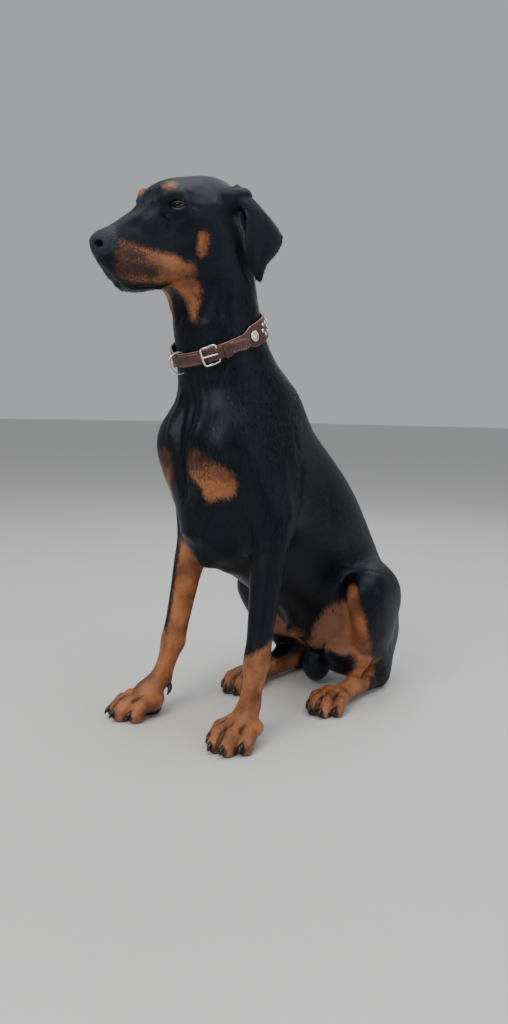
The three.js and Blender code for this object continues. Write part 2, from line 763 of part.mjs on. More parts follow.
function ear(s, grow) {
  const f = sideFrame(s);
  const lines = [0, 1, 2].map((i) => new THREE.CatmullRomCurve3(EAR.map((row) => new THREE.Vector3(...f.at(row[i])))));
  const grid = [];
  for (let i = 0; i <= EAR_ALONG; i++) {
    const [a, b, c] = lines.map((l) => l.getPoint(i / EAR_ALONG));
    const row = new THREE.QuadraticBezierCurve3(a, b, c);
    grid.push([...Array(EAR_ACROSS + 1).keys()].map((j) => row.getPoint(j / EAR_ACROSS)));
  }
  const stretch = (line) => {
    const n = line.length - 1;
    for (const [end, next] of [[line[0], line[1]], [line[n], line[n - 1]]]) {
      end.add(end.clone().sub(next).normalize().multiplyScalar(2 * grow));
    }
  };
  grid.forEach(stretch);
  for (let j = 0; j <= EAR_ACROSS; j++) stretch(grid.map((row) => row[j]));
  return sheet(grid, EAR_THICK / 2 + grow, s);
}

// A closed plate of a given half-thickness on both sides of a grid of points
function sheet(grid, half, s) {
  const rows = grid.length;
  const cols = grid[0].length;
  const clampRow = (i) => Math.max(0, Math.min(rows - 1, i));
  const clampCol = (j) => Math.max(0, Math.min(cols - 1, j));
  const verts = [];
  for (const side of [1, -1]) {
    for (let i = 0; i < rows; i++) for (let j = 0; j < cols; j++) {
      const down = grid[clampRow(i + 1)][j].clone().sub(grid[clampRow(i - 1)][j]);
      const over = grid[i][clampCol(j + 1)].clone().sub(grid[i][clampCol(j - 1)]);
      const n = down.cross(over).normalize().multiplyScalar(side * half * s);
      verts.push(...grid[i][j].clone().add(n).toArray());
    }
  }
  const tris = [];
  const id = (side, i, j) => side * rows * cols + i * cols + j;
  const quad = (a, b, c, d) => (s > 0 ? tris.push(a, b, c, a, c, d) : tris.push(a, c, b, a, d, c));
  for (let i = 0; i + 1 < rows; i++) for (let j = 0; j + 1 < cols; j++) {
    quad(id(0, i, j), id(0, i + 1, j), id(0, i + 1, j + 1), id(0, i, j + 1));
    quad(id(1, i, j), id(1, i, j + 1), id(1, i + 1, j + 1), id(1, i + 1, j));
  }
  for (let i = 0; i + 1 < rows; i++) {
    quad(id(0, i, 0), id(1, i, 0), id(1, i + 1, 0), id(0, i + 1, 0));
    quad(id(0, i + 1, cols - 1), id(1, i + 1, cols - 1), id(1, i, cols - 1), id(0, i, cols - 1));
  }
  for (let j = 0; j + 1 < cols; j++) {
    quad(id(0, 0, j + 1), id(1, 0, j + 1), id(1, 0, j), id(0, 0, j));
    quad(id(0, rows - 1, j), id(1, rows - 1, j), id(1, rows - 1, j + 1), id(0, rows - 1, j + 1));
  }
  return solidFrom(verts, tris);
}

// Openings cut into the head: between the lids, the nostrils, the mouth line and the groove below the nose
const MOUTH = [[2, -124, -86], [12, -114, -92], [20, -90, -97], [28, -64, -102], [34, -42, -105], [35, -30, -103]];
const NOSTRIL = [[16, -134, -27], [12, -125, -28], [9, -114, -30]];
const NOSTRIL_SLIT = [[16, -125, -32], [20, -117, -34], [23, -108, -35]];
const PHILTRUM = [[0, -148, -42], [0, -139, -60], [0, -131, -78]];
const OPENING = { half: 11.4, height: 5.2, flare: 4 };

function eyeOpening(g) {
  const out = g.dir(unit(EYE.look));
  const along = unit(g.dir(EYE.across));
  const up = unit(cross(out, along));
  const { half, height, flare } = OPENING;
  const r = (half * half + height * height) / (2 * height);
  const lens = [1, -1].map((side) => {
    const cone = new THREE.CylinderGeometry(r + flare, r, 14, 40).rotateX(Math.PI / 2);
    const at = add(add(g.at(EYE.at), mul(out, 16)), mul(up, side * (r - height)));
    const basis = [along, up, out].map((v) => new THREE.Vector3(...v));
    return solidOf(cone, new THREE.Matrix4().makeBasis(...basis).setPosition(...at));
  });
  return lens[0].intersect(lens[1]);
}

function headCuts() {
  const cuts = [horn(PHILTRUM.map(headFrame.at), [1.2, 1.5, 1.3], 6)];
  for (const s of [1, -1]) {
    const g = sideFrame(s);
    cuts.push(eyeOpening(g));
    cuts.push(horn(MOUTH.map(g.at), [2.2, 2, 2, 2, 2, 1.6], 6));
    cuts.push(horn(NOSTRIL.map(g.at), [6, 5.2, 3], 10));
    cuts.push(horn(NOSTRIL_SLIT.map(g.at), [1.9, 1.8, 1], 6));
  }
  return cuts;
}

// Collar: a strap round the neck, in a plane that is higher at the nape

const COLLAR = {
  at: [0, 64, 619], tilt: 26, thick: 4, narrow: 20, wide: 33, tongue: 2.4,
  buckle: 36, tongueEnd: 86, ring: -9, conchos: [95, 154, 213, 272, 331],
};
const collarUp = [0, -Math.sin(rad(COLLAR.tilt)), Math.cos(rad(COLLAR.tilt))];
const STEP = 10;

function collarOut(deg) {
  const a = rad(deg);
  const front = unit(cross(collarUp, [-1, 0, 0]));
  return add(mul([1, 0, 0], Math.sin(a)), mul(front, Math.cos(a)));
}

// How far out the neck lies at an angle and a height along the strap's width
function neckReach(deg, v) {
  const out = collarOut(deg);
  const base = add(COLLAR.at, mul(collarUp, v));
  let lo = 20;
  let hi = 140;
  for (let i = 0; i < 24; i++) {
    const r = (lo + hi) / 2;
    if (body(...add(base, mul(out, r))) < 0) lo = r;
    else hi = r;
  }
  return lo;
}

function strapWidth(deg) {
  const d = ((deg % 360) + 360) % 360;
  const span = (a, b) => THREE.MathUtils.smoothstep(d, a, b);
  return COLLAR.narrow + (COLLAR.wide - COLLAR.narrow) * (span(80, 96) - span(322, 345));
}

// A band from one angle to another, between two distances from the neck
function band(from, to, inner, outer, widthAt, grow = 0) {
  const whole = to - from >= 360;
  const steps = Math.round((to - from) / STEP);
  const verts = [];
  for (let i = 0; i < steps + (whole ? 0 : 1); i++) {
    const deg = from + (to - from) * i / steps;
    const out = collarOut(deg);
    const half = widthAt(deg) / 2;
    const corner = (v, d) => {
      const r = (neckReach(deg, v) + neckReach(deg, 0)) / 2 + d;
      return add(add(COLLAR.at, mul(collarUp, v + Math.sign(v) * grow)), mul(out, r));
    };
    for (const [v, d] of [[-half, inner - grow], [half, inner - grow], [half, outer + grow], [-half, outer + grow]]) {
      verts.push(...corner(v, d));
    }
  }
  const rows = verts.length / 12;
  const tris = [];
  for (let i = 0; i < (whole ? rows : rows - 1); i++) {
    const n = (i + 1) % rows;
    for (let j = 0; j < 4; j++) {
      const k = (j + 1) % 4;
      tris.push(4 * i + j, 4 * i + k, 4 * n + k, 4 * i + j, 4 * n + k, 4 * n + j);
    }
  }
  if (!whole) {
    const e = 4 * (rows - 1);
    tris.push(0, 2, 1, 0, 3, 2, e, e + 1, e + 2, e, e + 2, e + 3);
  }
  return solidFrom(verts, tris);
}

// The place on the strap's outer face at an angle and height, as a matrix with +Z outwards and +Y up
function onStrap(deg, v, lift) {
  const out = collarOut(deg);
  const along = unit(cross(collarUp, out));
  const r = neckReach(deg, v) + lift;
  const p = add(add(COLLAR.at, mul(collarUp, v)), mul(out, r));
  const [x, y, z] = [along, collarUp, out].map((w) => new THREE.Vector3(...w));
  return new THREE.Matrix4().makeBasis(x, y, z).setPosition(...p);
}

function dome(radius, height, sides, grow = 0) {
  const shoulder = radius > 5 ? [[radius * 0.7, height * 0.75]] : [];
  const profile = [[0, -1.2], [radius, -1.2], [radius, 0.4], ...shoulder, [0, height]];
  const points = profile.map(([r, h]) => new THREE.Vector2(r + (r > 0 ? grow : 0), h + (h < 0 ? -grow : grow)));
  return new THREE.LatheGeometry(points, sides).rotateX(Math.PI / 2);
}

// A closed loop of round wire through points, on a placed frame
function wireLoop(points, radius, sides, matrix, grow = 0) {
  const curve = new THREE.CatmullRomCurve3(points.map((p) => new THREE.Vector3(...p)), true, 'catmullrom', 0.3);
  const steps = points.length * 2;
  const verts = [];
  const tris = [];
  const axis = new THREE.Vector3(0, 0, 1);
  for (let i = 0; i < steps; i++) {
    const c = curve.getPoint(i / steps);
    const out = curve.getTangent(i / steps).cross(axis).normalize();
    for (let j = 0; j < sides; j++) {
      const a = 2 * Math.PI * j / sides;
      const p = c.clone().addScaledVector(out, (radius + grow) * Math.cos(a))
        .addScaledVector(axis, (radius + grow) * Math.sin(a)).applyMatrix4(matrix);
      verts.push(p.x, p.y, p.z);
    }
  }
  for (let i = 0; i < steps; i++) for (let j = 0; j < sides; j++) {
    const [n, k] = [(i + 1) % steps, (j + 1) % sides];
    const [a, b, c, d] = [i * sides + j, i * sides + k, n * sides + j, n * sides + k];
    tris.push(a, d, b, a, c, d);
  }
  return solidFrom(verts, tris);
}

const BUCKLE = { wide: 24, high: 27, wire: 1.7 };
const RING = { radius: 16.5, wire: 1.7 };

function buckleFrame(grow) {
  const { wide, high, wire } = BUCKLE;
  const [w, h] = [wide / 2, high / 2];
  const corner = 3;
  const points = [
    [w, -h + corner, 0], [w, h - corner, 0], [w - corner, h, 0], [-w + corner, h, 0],
    [-w, h - corner, 0], [-w, -h + corner, 0], [-w + corner, -h, 0], [w - corner, -h, 0],
  ];
  const lift = COLLAR.thick + COLLAR.tongue + 2 * GAP + wire + 0.6;
  return wireLoop(points, wire, 6, onStrap(COLLAR.buckle, 0, lift), grow);
}

function ringLoop(grow) {
  const { radius, wire } = RING;
  const count = 12;
  const points = [...Array(count).keys()].map((i) => {
    const a = 2 * Math.PI * i / count;
    return [radius * Math.cos(a), radius * Math.sin(a), 0];
  });
  const m = onStrap(COLLAR.ring, 0, COLLAR.thick / 2);
  const turn = new THREE.Matrix4().makeRotationY(rad(78)).setPosition(0, COLLAR.narrow / 2 + wire + 0.6 - radius, 0);
  return wireLoop(points, wire, 6, m.multiply(turn), grow);
}

// Assembly

const PAINT = {
  black: { color: 0x17171b, roughness: 0.45 },
  rust: { color: 0x9a5527, roughness: 0.6 },
  nose: { color: 0x1c1b1d, roughness: 0.4 },
  eye: { color: 0x2a1609, roughness: 0.1 },
  claw: { color: 0x131212, roughness: 0.35 },
  skin: { color: 0x1b1716, roughness: 0.6 },
  leather: { color: 0x4f211c, roughness: 0.55 },
  steel: { color: 0xc4c4c4, roughness: 0.25, metalness: 1 },
};

const dog = new THREE.Group();

function addPart(name, solid, paint) {
  const { numProp, vertProperties, triVerts } = solid.getMesh();
  const geometry = new THREE.BufferGeometry();
  const position = new Float32Array(vertProperties.length / numProp * 3);
  for (let i = 0; i < position.length / 3; i++) {
    for (let j = 0; j < 3; j++) position[3 * i + j] = vertProperties[numProp * i + j];
  }
  geometry.setAttribute('position', new THREE.BufferAttribute(position, 3));
  geometry.setIndex(new THREE.BufferAttribute(new Uint32Array(triVerts), 1));
  geometry.computeVertexNormals();
  const mesh = new THREE.Mesh(geometry, new THREE.MeshStandardMaterial(PAINT[paint]));
  mesh.name = name;
  dog.add(mesh);
}

function without(solid, ...cuts) {
  return largest(cuts.reduce((a, b) => a.subtract(b), solid));
}

function collarParts() {
  const { thick, narrow, tongue, buckle, tongueEnd, conchos } = COLLAR;
  const strapAt = (grow) => band(0, 360, GAP, GAP + thick, strapWidth, grow);
  const placed = (geometry, deg, v, lift) => solidOf(geometry, onStrap(deg, v, lift));
  const ring = ringLoop(0);
  const ringRoom = ringLoop(GAP);
  let strap = strapAt(0);
  const conchoAt = (deg, grow) => placed(dome(8.5, 3.4, 12, grow), deg, 0, GAP + thick + 1.2);
  for (let i = 0; i + 1 < conchos.length; i++) {
    for (const [t, v] of [[0.33, 0], [0.42, 7], [0.42, -7], [0.58, 7], [0.58, -7], [0.67, 0]]) {
      const deg = conchos[i] + (conchos[i + 1] - conchos[i]) * t;
      strap = strap.add(placed(dome(3, 1.8, 6), deg, v, GAP + thick + 0.6));
    }
  }
  for (const deg of conchos) strap = strap.subtract(conchoAt(deg, GAP));
  const taper = (deg) => {
    const t = Math.max(0, deg - tongueEnd + 10) / 10;
    return (narrow - 3) * Math.sqrt(Math.max(0.04, 1 - t * t));
  };
  const from = GAP + thick + GAP;
  const tongueAt = (grow) => band(buckle - 4, tongueEnd, from, from + tongue, taper, grow);
  const strapRoom = strapAt(GAP);
  const frame = buckleFrame(0);
  const frameRoom = buckleFrame(GAP);
  const prongPath = [-13, -4, 6, 14].map((x, i) => {
    const lift = from + tongue + [3.2, 2.6, 2.6, 3.6][i];
    return new THREE.Vector3(x, 0, 0).applyMatrix4(onStrap(buckle, 0, lift)).toArray();
  });
  const prongAt = (grow) => horn(prongPath, [1.3, 1.4, 1.4, 1.2], 6, grow);
  const keeper = band(buckle + 15, buckle + 22.5, from + tongue + GAP, from + tongue + 2.3, () => narrow + 1.5);
  addPart('collar_strap', without(strap, ringRoom), 'leather');
  addPart('collar_tongue', without(tongueAt(0), frameRoom, strapRoom, prongAt(GAP)), 'leather');
  addPart('collar_keeper', without(keeper, tongueAt(GAP)), 'leather');
  addPart('collar_buckle', without(frame, prongAt(GAP)), 'steel');
  addPart('collar_prong', prongAt(0), 'steel');
  addPart('collar_ring', ring, 'steel');
  conchos.forEach((deg, i) => addPart(`collar_concho_${i + 1}`, conchoAt(deg, 0), 'steel'));
  return { strapRoom, ringRoom };
}

const { strapRoom, ringRoom } = collarParts();

const eyes = {};
const sockets = [];
const earRoots = [];
for (const [name, s] of Object.entries(SIDES)) {
  const at = sideFrame(s).at(EYE.at);
  eyes[name] = ballAt(at, EYE_RADIUS);
  sockets.push(ballAt(at, EYE_RADIUS + GAP));
  earRoots.push(ear(s, GAP));
  addPart(`eye_${name}`, eyes[name], 'eye');
  addPart(`ear_${name}`, ear(s, 0), 'black');
}

const openings = headCuts();
const noseEnd = headFrame.at([0, -150, -30]);
addPart('nose', without(section({
  zone: NOSE_ZONE, cell: 2, faces: 600,
  lo: sub(noseEnd, [32, 14, 26]), hi: add(noseEnd, [32, 52, 44]),
}), ...openings), 'nose');
addPart('head', without(section({
  zone: HEAD_ZONE, clear: [NOSE_ZONE], lo: [-90, -215, 630], hi: [90, 130, 870], cell: 3.4, faces: 2300,
}), ...sockets, ...earRoots, ...openings), 'black');
addPart('neck', without(section({
  zone: NECK_ZONE, clear: [HEAD_ZONE], lo: [-110, -80, 500], hi: [110, 200, 830], cell: 7, faces: 600,
}), strapRoom, ringRoom), 'black');

const torsoClear = [NECK_ZONE, HEAD_ZONE, TAIL_ZONE, SCROTUM_ZONE];
for (const [name, s] of Object.entries(SIDES)) {
  const zones = ZONES[name];
  const side = (lo, hi) => (s > 0 ? { lo, hi } : { lo: [-hi[0], lo[1], lo[2]], hi: [-lo[0], hi[1], hi[2]] });
  const fore = FORELEG[name];
  const hind = HINDLEG[name];
  const forepaw = section({ zone: zones.forepaw, ...side([20, -90, -6], [170, 110, 70]), cell: 3.2, faces: 660 });
  addPart(`forepaw_${name}`, without(forepaw, ...claws(fore.paw, fore.turn, 1, GAP)), 'rust');
  const foreleg = section({
    zone: zones.foreleg, clear: [zones.forepaw], ...side([44, -40, 40], [180, 150, 310]), cell: 5, faces: 700,
  });
  addPart(`foreleg_${name}`, foreleg, s > 0 ? 'black' : 'rust');
  const foot = section({
    zone: zones.hindfoot, ...side([20, 100, -6], [180, 480, 120]), cell: 3.6, faces: 780,
  });
  addPart(`hindfoot_${name}`, without(foot, ...claws(hind.paw, hind.turn, HIND_SCALE, GAP)), 'rust');
  addPart(`shank_${name}`, section({
    zone: zones.shank, clear: [zones.hindfoot, SCROTUM_ZONE], ...side([10, 140, -6], [200, 490, 260]), cell: 6, faces: 700,
  }), 'black');
  addPart(`thigh_${name}`, section({
    zone: zones.thigh, clear: [zones.hindfoot, zones.shank, TAIL_ZONE], ...side([10, 140, -6], [200, 500, 340]), cell: 7, faces: 800,
  }), 'black');
  claws(fore.paw, fore.turn, 1, 0).forEach((c, i) => addPart(`claw_fore_${name}_${i + 1}`, c, 'claw'));
  claws(hind.paw, hind.turn, HIND_SCALE, 0).forEach((c, i) => addPart(`claw_hind_${name}_${i + 1}`, c, 'claw'));
  torsoClear.push(zones.forepaw, zones.foreleg, zones.hindfoot, zones.shank, zones.thigh);
}

addPart('tail', section({
  zone: TAIL_ZONE, lo: [-60, 430, 40], hi: [60, 540, 160], cell: 4, faces: 300,
}), 'black');
addPart('scrotum', section({
  zone: SCROTUM_ZONE, lo: [-50, 260, -6], hi: [50, 380, 80], cell: 4, faces: 350,
}), 'skin');
addPart('torso', section({
  clear: torsoClear, lo: [-190, -110, -8], hi: [190, 500, 640], cell: 7, faces: 2240,
}), 'black');

// The origin is the middle of the underside of the whole
const box = new THREE.Box3().setFromObject(dog);
const middle = box.getCenter(new THREE.Vector3());
dog.position.set(-middle.x, -middle.y, -box.min.z);
const whole = new THREE.Group();
whole.add(dog);

export default whole;
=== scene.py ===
"""A sitting doberman pinscher with a studded leather collar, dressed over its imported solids.

One skin stands for all the flesh, short tufts of coat lie on it, and the eyes, lids, claws,
whiskers and the collar's parts are pieces of their own. Lengths with no unit in their name are
millimetres in the dog's own frame, with the dog facing -Y and its left side at +X.
"""

import logging
import math
from collections.abc import Callable, Iterable, Sequence
from dataclasses import dataclass, field
from enum import Enum

import bmesh
import bpy
import numpy as np
from mathutils import Matrix, Vector
from mathutils.bvhtree import BVHTree

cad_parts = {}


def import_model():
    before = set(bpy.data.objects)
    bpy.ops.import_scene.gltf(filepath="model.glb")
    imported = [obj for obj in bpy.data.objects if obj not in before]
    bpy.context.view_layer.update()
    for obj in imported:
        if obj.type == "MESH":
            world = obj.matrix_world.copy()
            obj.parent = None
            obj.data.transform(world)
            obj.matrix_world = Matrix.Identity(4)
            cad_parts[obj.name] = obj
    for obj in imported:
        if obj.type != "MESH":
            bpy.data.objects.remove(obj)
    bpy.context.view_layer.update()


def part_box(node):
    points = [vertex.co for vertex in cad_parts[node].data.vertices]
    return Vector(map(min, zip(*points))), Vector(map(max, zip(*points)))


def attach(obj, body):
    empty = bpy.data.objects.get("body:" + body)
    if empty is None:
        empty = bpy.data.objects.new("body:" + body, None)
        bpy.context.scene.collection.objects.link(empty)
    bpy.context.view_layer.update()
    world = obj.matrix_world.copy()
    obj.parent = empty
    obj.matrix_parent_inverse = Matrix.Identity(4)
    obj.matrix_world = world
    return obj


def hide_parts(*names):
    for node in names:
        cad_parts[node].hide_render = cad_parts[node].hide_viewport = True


log = logging.getLogger("doberman")

Point = tuple[float, float, float]
Array = np.ndarray
Object = bpy.types.Object
Mesh = bpy.types.Mesh
Material = bpy.types.Material
NodeSocket = bpy.types.NodeSocket

SIDES = {"left": 1.0, "right": -1.0}


# Places and directions


@dataclass(frozen=True)
class HeadFrame:
    """The head's own frame: x to the dog's left, y back, z up, from midway between the eyes."""

    at: Point = (0.0, -48.0, 797.0)
    pitch: float = 18.0
    roll: float = 4.0

    def turn(self) -> Array:
        """Returns the 3x3 matrix from the head's frame to the dog's."""
        tilt = Matrix.Rotation(math.radians(self.pitch), 3, "X")
        return np.array(tilt @ Matrix.Rotation(math.radians(self.roll), 3, "Y"))

    def points(self, local: Sequence, side: float = 1.0) -> Array:
        """Points of the head in the dog's frame.

        Args:
            local: One point or a list of points in the head's frame.
            side: 1 for the left side, -1 to mirror to the right.

        Returns:
            The points as an array.
        """
        flip = np.array([side, 1.0, 1.0])
        return np.asarray(local, float) * flip @ self.turn().T + np.array(self.at)

    def direction(self, local: Sequence, side: float = 1.0) -> Array:
        """Returns a unit direction of the head's frame in the dog's frame."""
        v = np.asarray(local, float) * np.array([side, 1.0, 1.0]) @ self.turn().T
        return v / np.linalg.norm(v)


HEAD = HeadFrame()
EYE_AT = (33.0, 4.0, 1.0)
EYE_LOOK = (0.62, -0.78, 0.06)
EYE_ACROSS = (0.78, 0.62, -0.14)
EYE_RADIUS = 12.0


class Place:
    """Where the dog's own frame lies in the row's frame."""

    shift = np.zeros(3)

    @classmethod
    def settle(cls) -> None:
        """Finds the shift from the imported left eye, whose place in the dog's frame is known."""
        low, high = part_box("eye_left")
        middle = (np.array(low) + np.array(high)) / 2
        cls.shift = middle - HEAD.points(EYE_AT) / 1000

    @classmethod
    def world(cls, points: Sequence) -> Array:
        """Returns millimetre points of the dog's frame in metres in the row's frame."""
        return np.asarray(points, float) / 1000 + cls.shift

    @classmethod
    def dog(cls, points: Array) -> Array:
        """Returns points of the row's frame as millimetres in the dog's frame."""
        return (points - cls.shift) * 1000


def unit(v: Array) -> Array:
    """Returns v, or each row of it, at length one."""
    return v / np.maximum(np.linalg.norm(v, axis=-1, keepdims=True), 1e-12)


def smoothstep(x: Array, low: float, high: float) -> Array:
    """Returns a smooth rise from 0 at low to 1 at high."""
    t = np.clip((x - low) / (high - low), 0, 1)
    return t * t * (3 - 2 * t)


def signed_power(x: Array, power: float) -> Array:
    """Returns x raised to a power with its sign kept."""
    return np.sign(x) * np.abs(x) ** power


def cubic(a: Array, b: Array, c: Array, d: Array, u: Array) -> Array:
    """Finds the way between two values on a smooth curve through four.

    Args:
        a: The value before.
        b: The value where the stretch starts.
        c: The value where it ends.
        d: The value after.
        u: How far along the stretch, from 0 to 1.

    Returns:
        The values there.
    """
    second, third = 2 * a - 5 * b + 4 * c - d, 3 * b - a - 3 * c + d
    return 0.5 * (2 * b + (c - a) * u + second * u**2 + third * u**3)


def catmull(points: Array, t: Array) -> Array:
    """Finds points along a smooth open curve through some points.

    Args:
        points: The points that the curve passes through.
        t: Places along it, from 0 to 1.

    Returns:
        One point for each place.
    """
    p = np.asarray(points, float)
    p = np.concatenate([2 * p[:1] - p[1:2], p, 2 * p[-1:] - p[-2:-1]])
    n = len(p) - 3
    s = np.clip(np.asarray(t, float), 0, 1) * n
    i = np.minimum(s.astype(int), n - 1)
    return cubic(p[i], p[i + 1], p[i + 2], p[i + 3], (s - i)[..., None])


def to_line(p: Array, start: Sequence, end: Sequence) -> tuple[Array, Array]:
    """Measures points against the straight line between two points.

    Args:
        p: The points.
        start: Where the line starts.
        end: Where it ends.

    Returns:
        How far along the line the nearest place to each point is, from 0 to 1, and its distance.
    """
    a, b = np.array(start), np.array(end)
    d = b - a
    t = np.clip((p - a) @ d / max(d @ d, 1e-9), 0, 1)
    return t, np.linalg.norm(p - a - t[:, None] * d, axis=1)


def head_height(p: Array) -> Array:
    """Returns heights that rise a quarter as much towards the back, to part head and neck."""
    return p @ np.array([0, 0.25, 1.0])


# Mesh helpers


def deselect() -> None:
    """Leaves nothing selected."""
    if bpy.context.object and bpy.context.object.mode != "OBJECT":
        bpy.ops.object.mode_set(mode="OBJECT")
    bpy.ops.object.select_all(action="DESELECT")


def make_active(obj: Object) -> None:
    """Selects only this object and makes it active.

    Args:
        obj: The object.
    """
    deselect()
    obj.select_set(True)
    bpy.context.view_layer.objects.active = obj


def edit_all(obj: Object, work: Callable[..., object], **settings: object) -> None:
    """Runs a mesh operator on all of an object's faces.

    Args:
        obj: The object.
        work: The operator.
        settings: Its settings.
    """
    make_active(obj)
    bpy.ops.object.mode_set(mode="EDIT")
    bpy.ops.mesh.select_all(action="SELECT")
    work(**settings)
    bpy.ops.object.mode_set(mode="OBJECT")


def add_object(name: str, data: bpy.types.ID) -> Object:
    """Adds an object to the scene.

    Args:
        name: Its name.
        data: Its mesh, lamp or camera.

    Returns:
        The object.
    """
    obj = bpy.data.objects.new(name, data)
    bpy.context.scene.collection.objects.link(obj)
    return obj


def apply_modifier(obj: Object, kind: str, **settings: object) -> None:
    """Adds a modifier and applies it.

    Args:
        obj: The object.
        kind: The modifier's kind, in Blender's word for it.
        settings: Its settings.
    """
    make_active(obj)
    modifier = obj.modifiers.new(kind.lower(), kind)
    for name, value in settings.items():
        setattr(modifier, name, value)
    bpy.ops.object.modifier_apply(modifier=modifier.name)


def coords(mesh: Mesh) -> Array:
    """Reads a mesh's points.

    Args:
        mesh: The mesh.

    Returns:
        One row for each point.
    """
    co = np.empty(len(mesh.vertices) * 3, np.float32)
    mesh.vertices.foreach_get("co", co)
    return co.reshape(-1, 3).astype(float)


def set_coords(mesh: Mesh, co: Array) -> None:
    """Moves a mesh's points."""
    mesh.vertices.foreach_set("co", np.asarray(co, np.float32).ravel())
    mesh.update()


def normals(mesh: Mesh) -> Array:
    """Reads the normals at a mesh's points.

    Args:
        mesh: The mesh.

    Returns:
        One row for each point.
    """
    n = np.empty(len(mesh.vertices) * 3, np.float32)
    mesh.vertex_normals.foreach_get("vector", n)
    return n.reshape(-1, 3).astype(float)


def triangles(mesh: Mesh, what: str = "vertices") -> Array:
    """Reads a mesh's faces, cut into triangles.

    Args:
        mesh: The mesh.
        what: "vertices" for the points at the corners, "loops" for the corners themselves.

    Returns:
        One row of three numbers for each triangle.
    """
    mesh.calc_loop_triangles()
    found = np.empty(len(mesh.loop_triangles) * 3, np.int32)
    mesh.loop_triangles.foreach_get(what, found)
    return found.reshape(-1, 3)


def add_value(mesh: Mesh, name: str, values: Array) -> None:
    """Stores one number for each point under a name that materials read."""
    layer = mesh.attributes.new(name, "FLOAT", "POINT")
    layer.data.foreach_set("value", np.asarray(values, np.float32).ravel())


def finish_piece(obj: Object, name: str, material: Material) -> Object:
    """Names and paints a piece, and lets it ride on the one body.

    Args:
        obj: The piece, with its place in its mesh.
        name: Its name.
        material: What it is made of.

    Returns:
        The same piece.
    """
    obj.name = name
    obj.data.name = name
    obj.data.materials.clear()
    obj.data.materials.append(material)
    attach(obj, "root")
    log.info("%s: %d faces", name, len(obj.data.polygons))
    return obj


def lone_copy(node: str) -> Object:
    """Copies a CAD node's mesh and merges the points that lie on each other.

    Args:
        node: The node's name.

    Returns:
        The copy as an object of its own.
    """
    obj = add_object(node + "_copy", bpy.data.objects[node].data.copy())
    edit_all(obj, bpy.ops.mesh.remove_doubles, threshold=0.00001)
    return obj


def join(objects: Sequence[Object]) -> Object:
    """Joins objects into the first of them.

    Args:
        objects: The objects.

    Returns:
        The first of them, with all in it.
    """
    make_active(objects[0])
    for o in objects:
        o.select_set(True)
    if len(objects) > 1:
        bpy.ops.object.join()
    return objects[0]


def ball(around: int, along: int) -> Object:
    """Adds a ball of radius one, to be shaped.

    Args:
        around: Faces round it.
        along: Faces from its lowest point to its highest.

    Returns:
        The ball as an object.
    """
    deselect()
    bpy.ops.mesh.primitive_uv_sphere_add(
        segments=around, ring_count=along, radius=1, location=(0, 0, 0)
    )
    return bpy.context.object


def torus(steps: int, around: int) -> Object:
    """Adds a ring, to be shaped.

    Args:
        steps: Sections along it.
        around: Points round each section.

    Returns:
        The ring as an object.
    """
    deselect()
    bpy.ops.mesh.primitive_torus_add(
        major_segments=steps, minor_segments=around, major_radius=1, minor_radius=0.2
    )
    return bpy.context.object


def shape(obj: Object, points: Array) -> Object:
    """Gives a closed object its shape, with its faces outwards and smooth.

    Args:
        obj: The object.
        points: Where its points go, in the dog's frame.

    Returns:
        The same object.
    """
    set_coords(obj.data, Place.world(points))
    edit_all(obj, bpy.ops.mesh.normals_make_consistent, inside=False)
    bpy.ops.object.shade_smooth()
    return obj


def rod(path: Sequence, radii: Sequence, around: int = 14, along: int = 12) -> Object:
    """Draws a ball out along a path into a closed rod with round ends.

    Args:
        path: Points of its middle line in the dog's frame.
        radii: Its radius at even steps along the path.
        around: Faces around it.
        along: Faces along it.

    Returns:
        The rod as an object.
    """
    obj = ball(around, along)
    co = coords(obj.data)
    t = np.clip(np.arccos(np.clip(-co[:, 2], -1, 1)) / math.pi, 0, 1)
    line = catmull(path, t)
    ahead = unit(catmull(path, np.clip(t + 0.01, 0, 1)) - catmull(path, np.clip(t - 0.01, 0, 1)))
    upright = abs(unit(np.asarray(path[-1], float) - path[0])[2]) >= 0.9
    guide = np.array([0.0, 1.0, 0.0]) if upright else np.array([0.0, 0.0, 1.0])
    side = unit(np.cross(ahead, guide))
    up = np.cross(side, ahead)
    radius = np.interp(t, np.linspace(0, 1, len(radii)), radii)
    round_end = np.sqrt(np.clip(1 - (np.abs(2 * t - 1)) ** 8, 0, 1))
    angle = np.arctan2(co[:, 1], co[:, 0])
    reach = np.where(np.hypot(co[:, 0], co[:, 1]) > 1e-4, radius * round_end, 0)
    sideways = side * (reach * np.cos(angle))[:, None]
    upwards = up * (reach * np.sin(angle))[:, None]
    return shape(obj, line + sideways + upwards)


def loop_tube(path: Callable[[Array], tuple[Array, Array, Array]], section: tuple[float, float],
              steps: int, around: int) -> Object:
    """Lays a ring's sections along a closed path.

    Args:
        path: Gives the middle point, the first and the second axis of the section at angles.
        section: Half the section's size along its first and its second axis.
        steps: Sections along the path.
        around: Points round each section.

    Returns:
        The ring as an object.
    """
    obj = torus(steps, around)
    turn = np.repeat(np.arange(steps) * 2 * math.pi / steps, around)
    angle = np.tile(np.arange(around) * 2 * math.pi / around, steps)
    middle, first, second = path(turn)
    a, b = section[0] * np.cos(angle), section[1] * np.sin(angle)
    return shape(obj, middle + first * a[:, None] + second * b[:, None])


# Materials


def opaque(value: object) -> object:
    """Returns a colour with full opacity added, and anything else as it is."""
    return (*value, 1.0) if isinstance(value, tuple) and len(value) == 3 else value


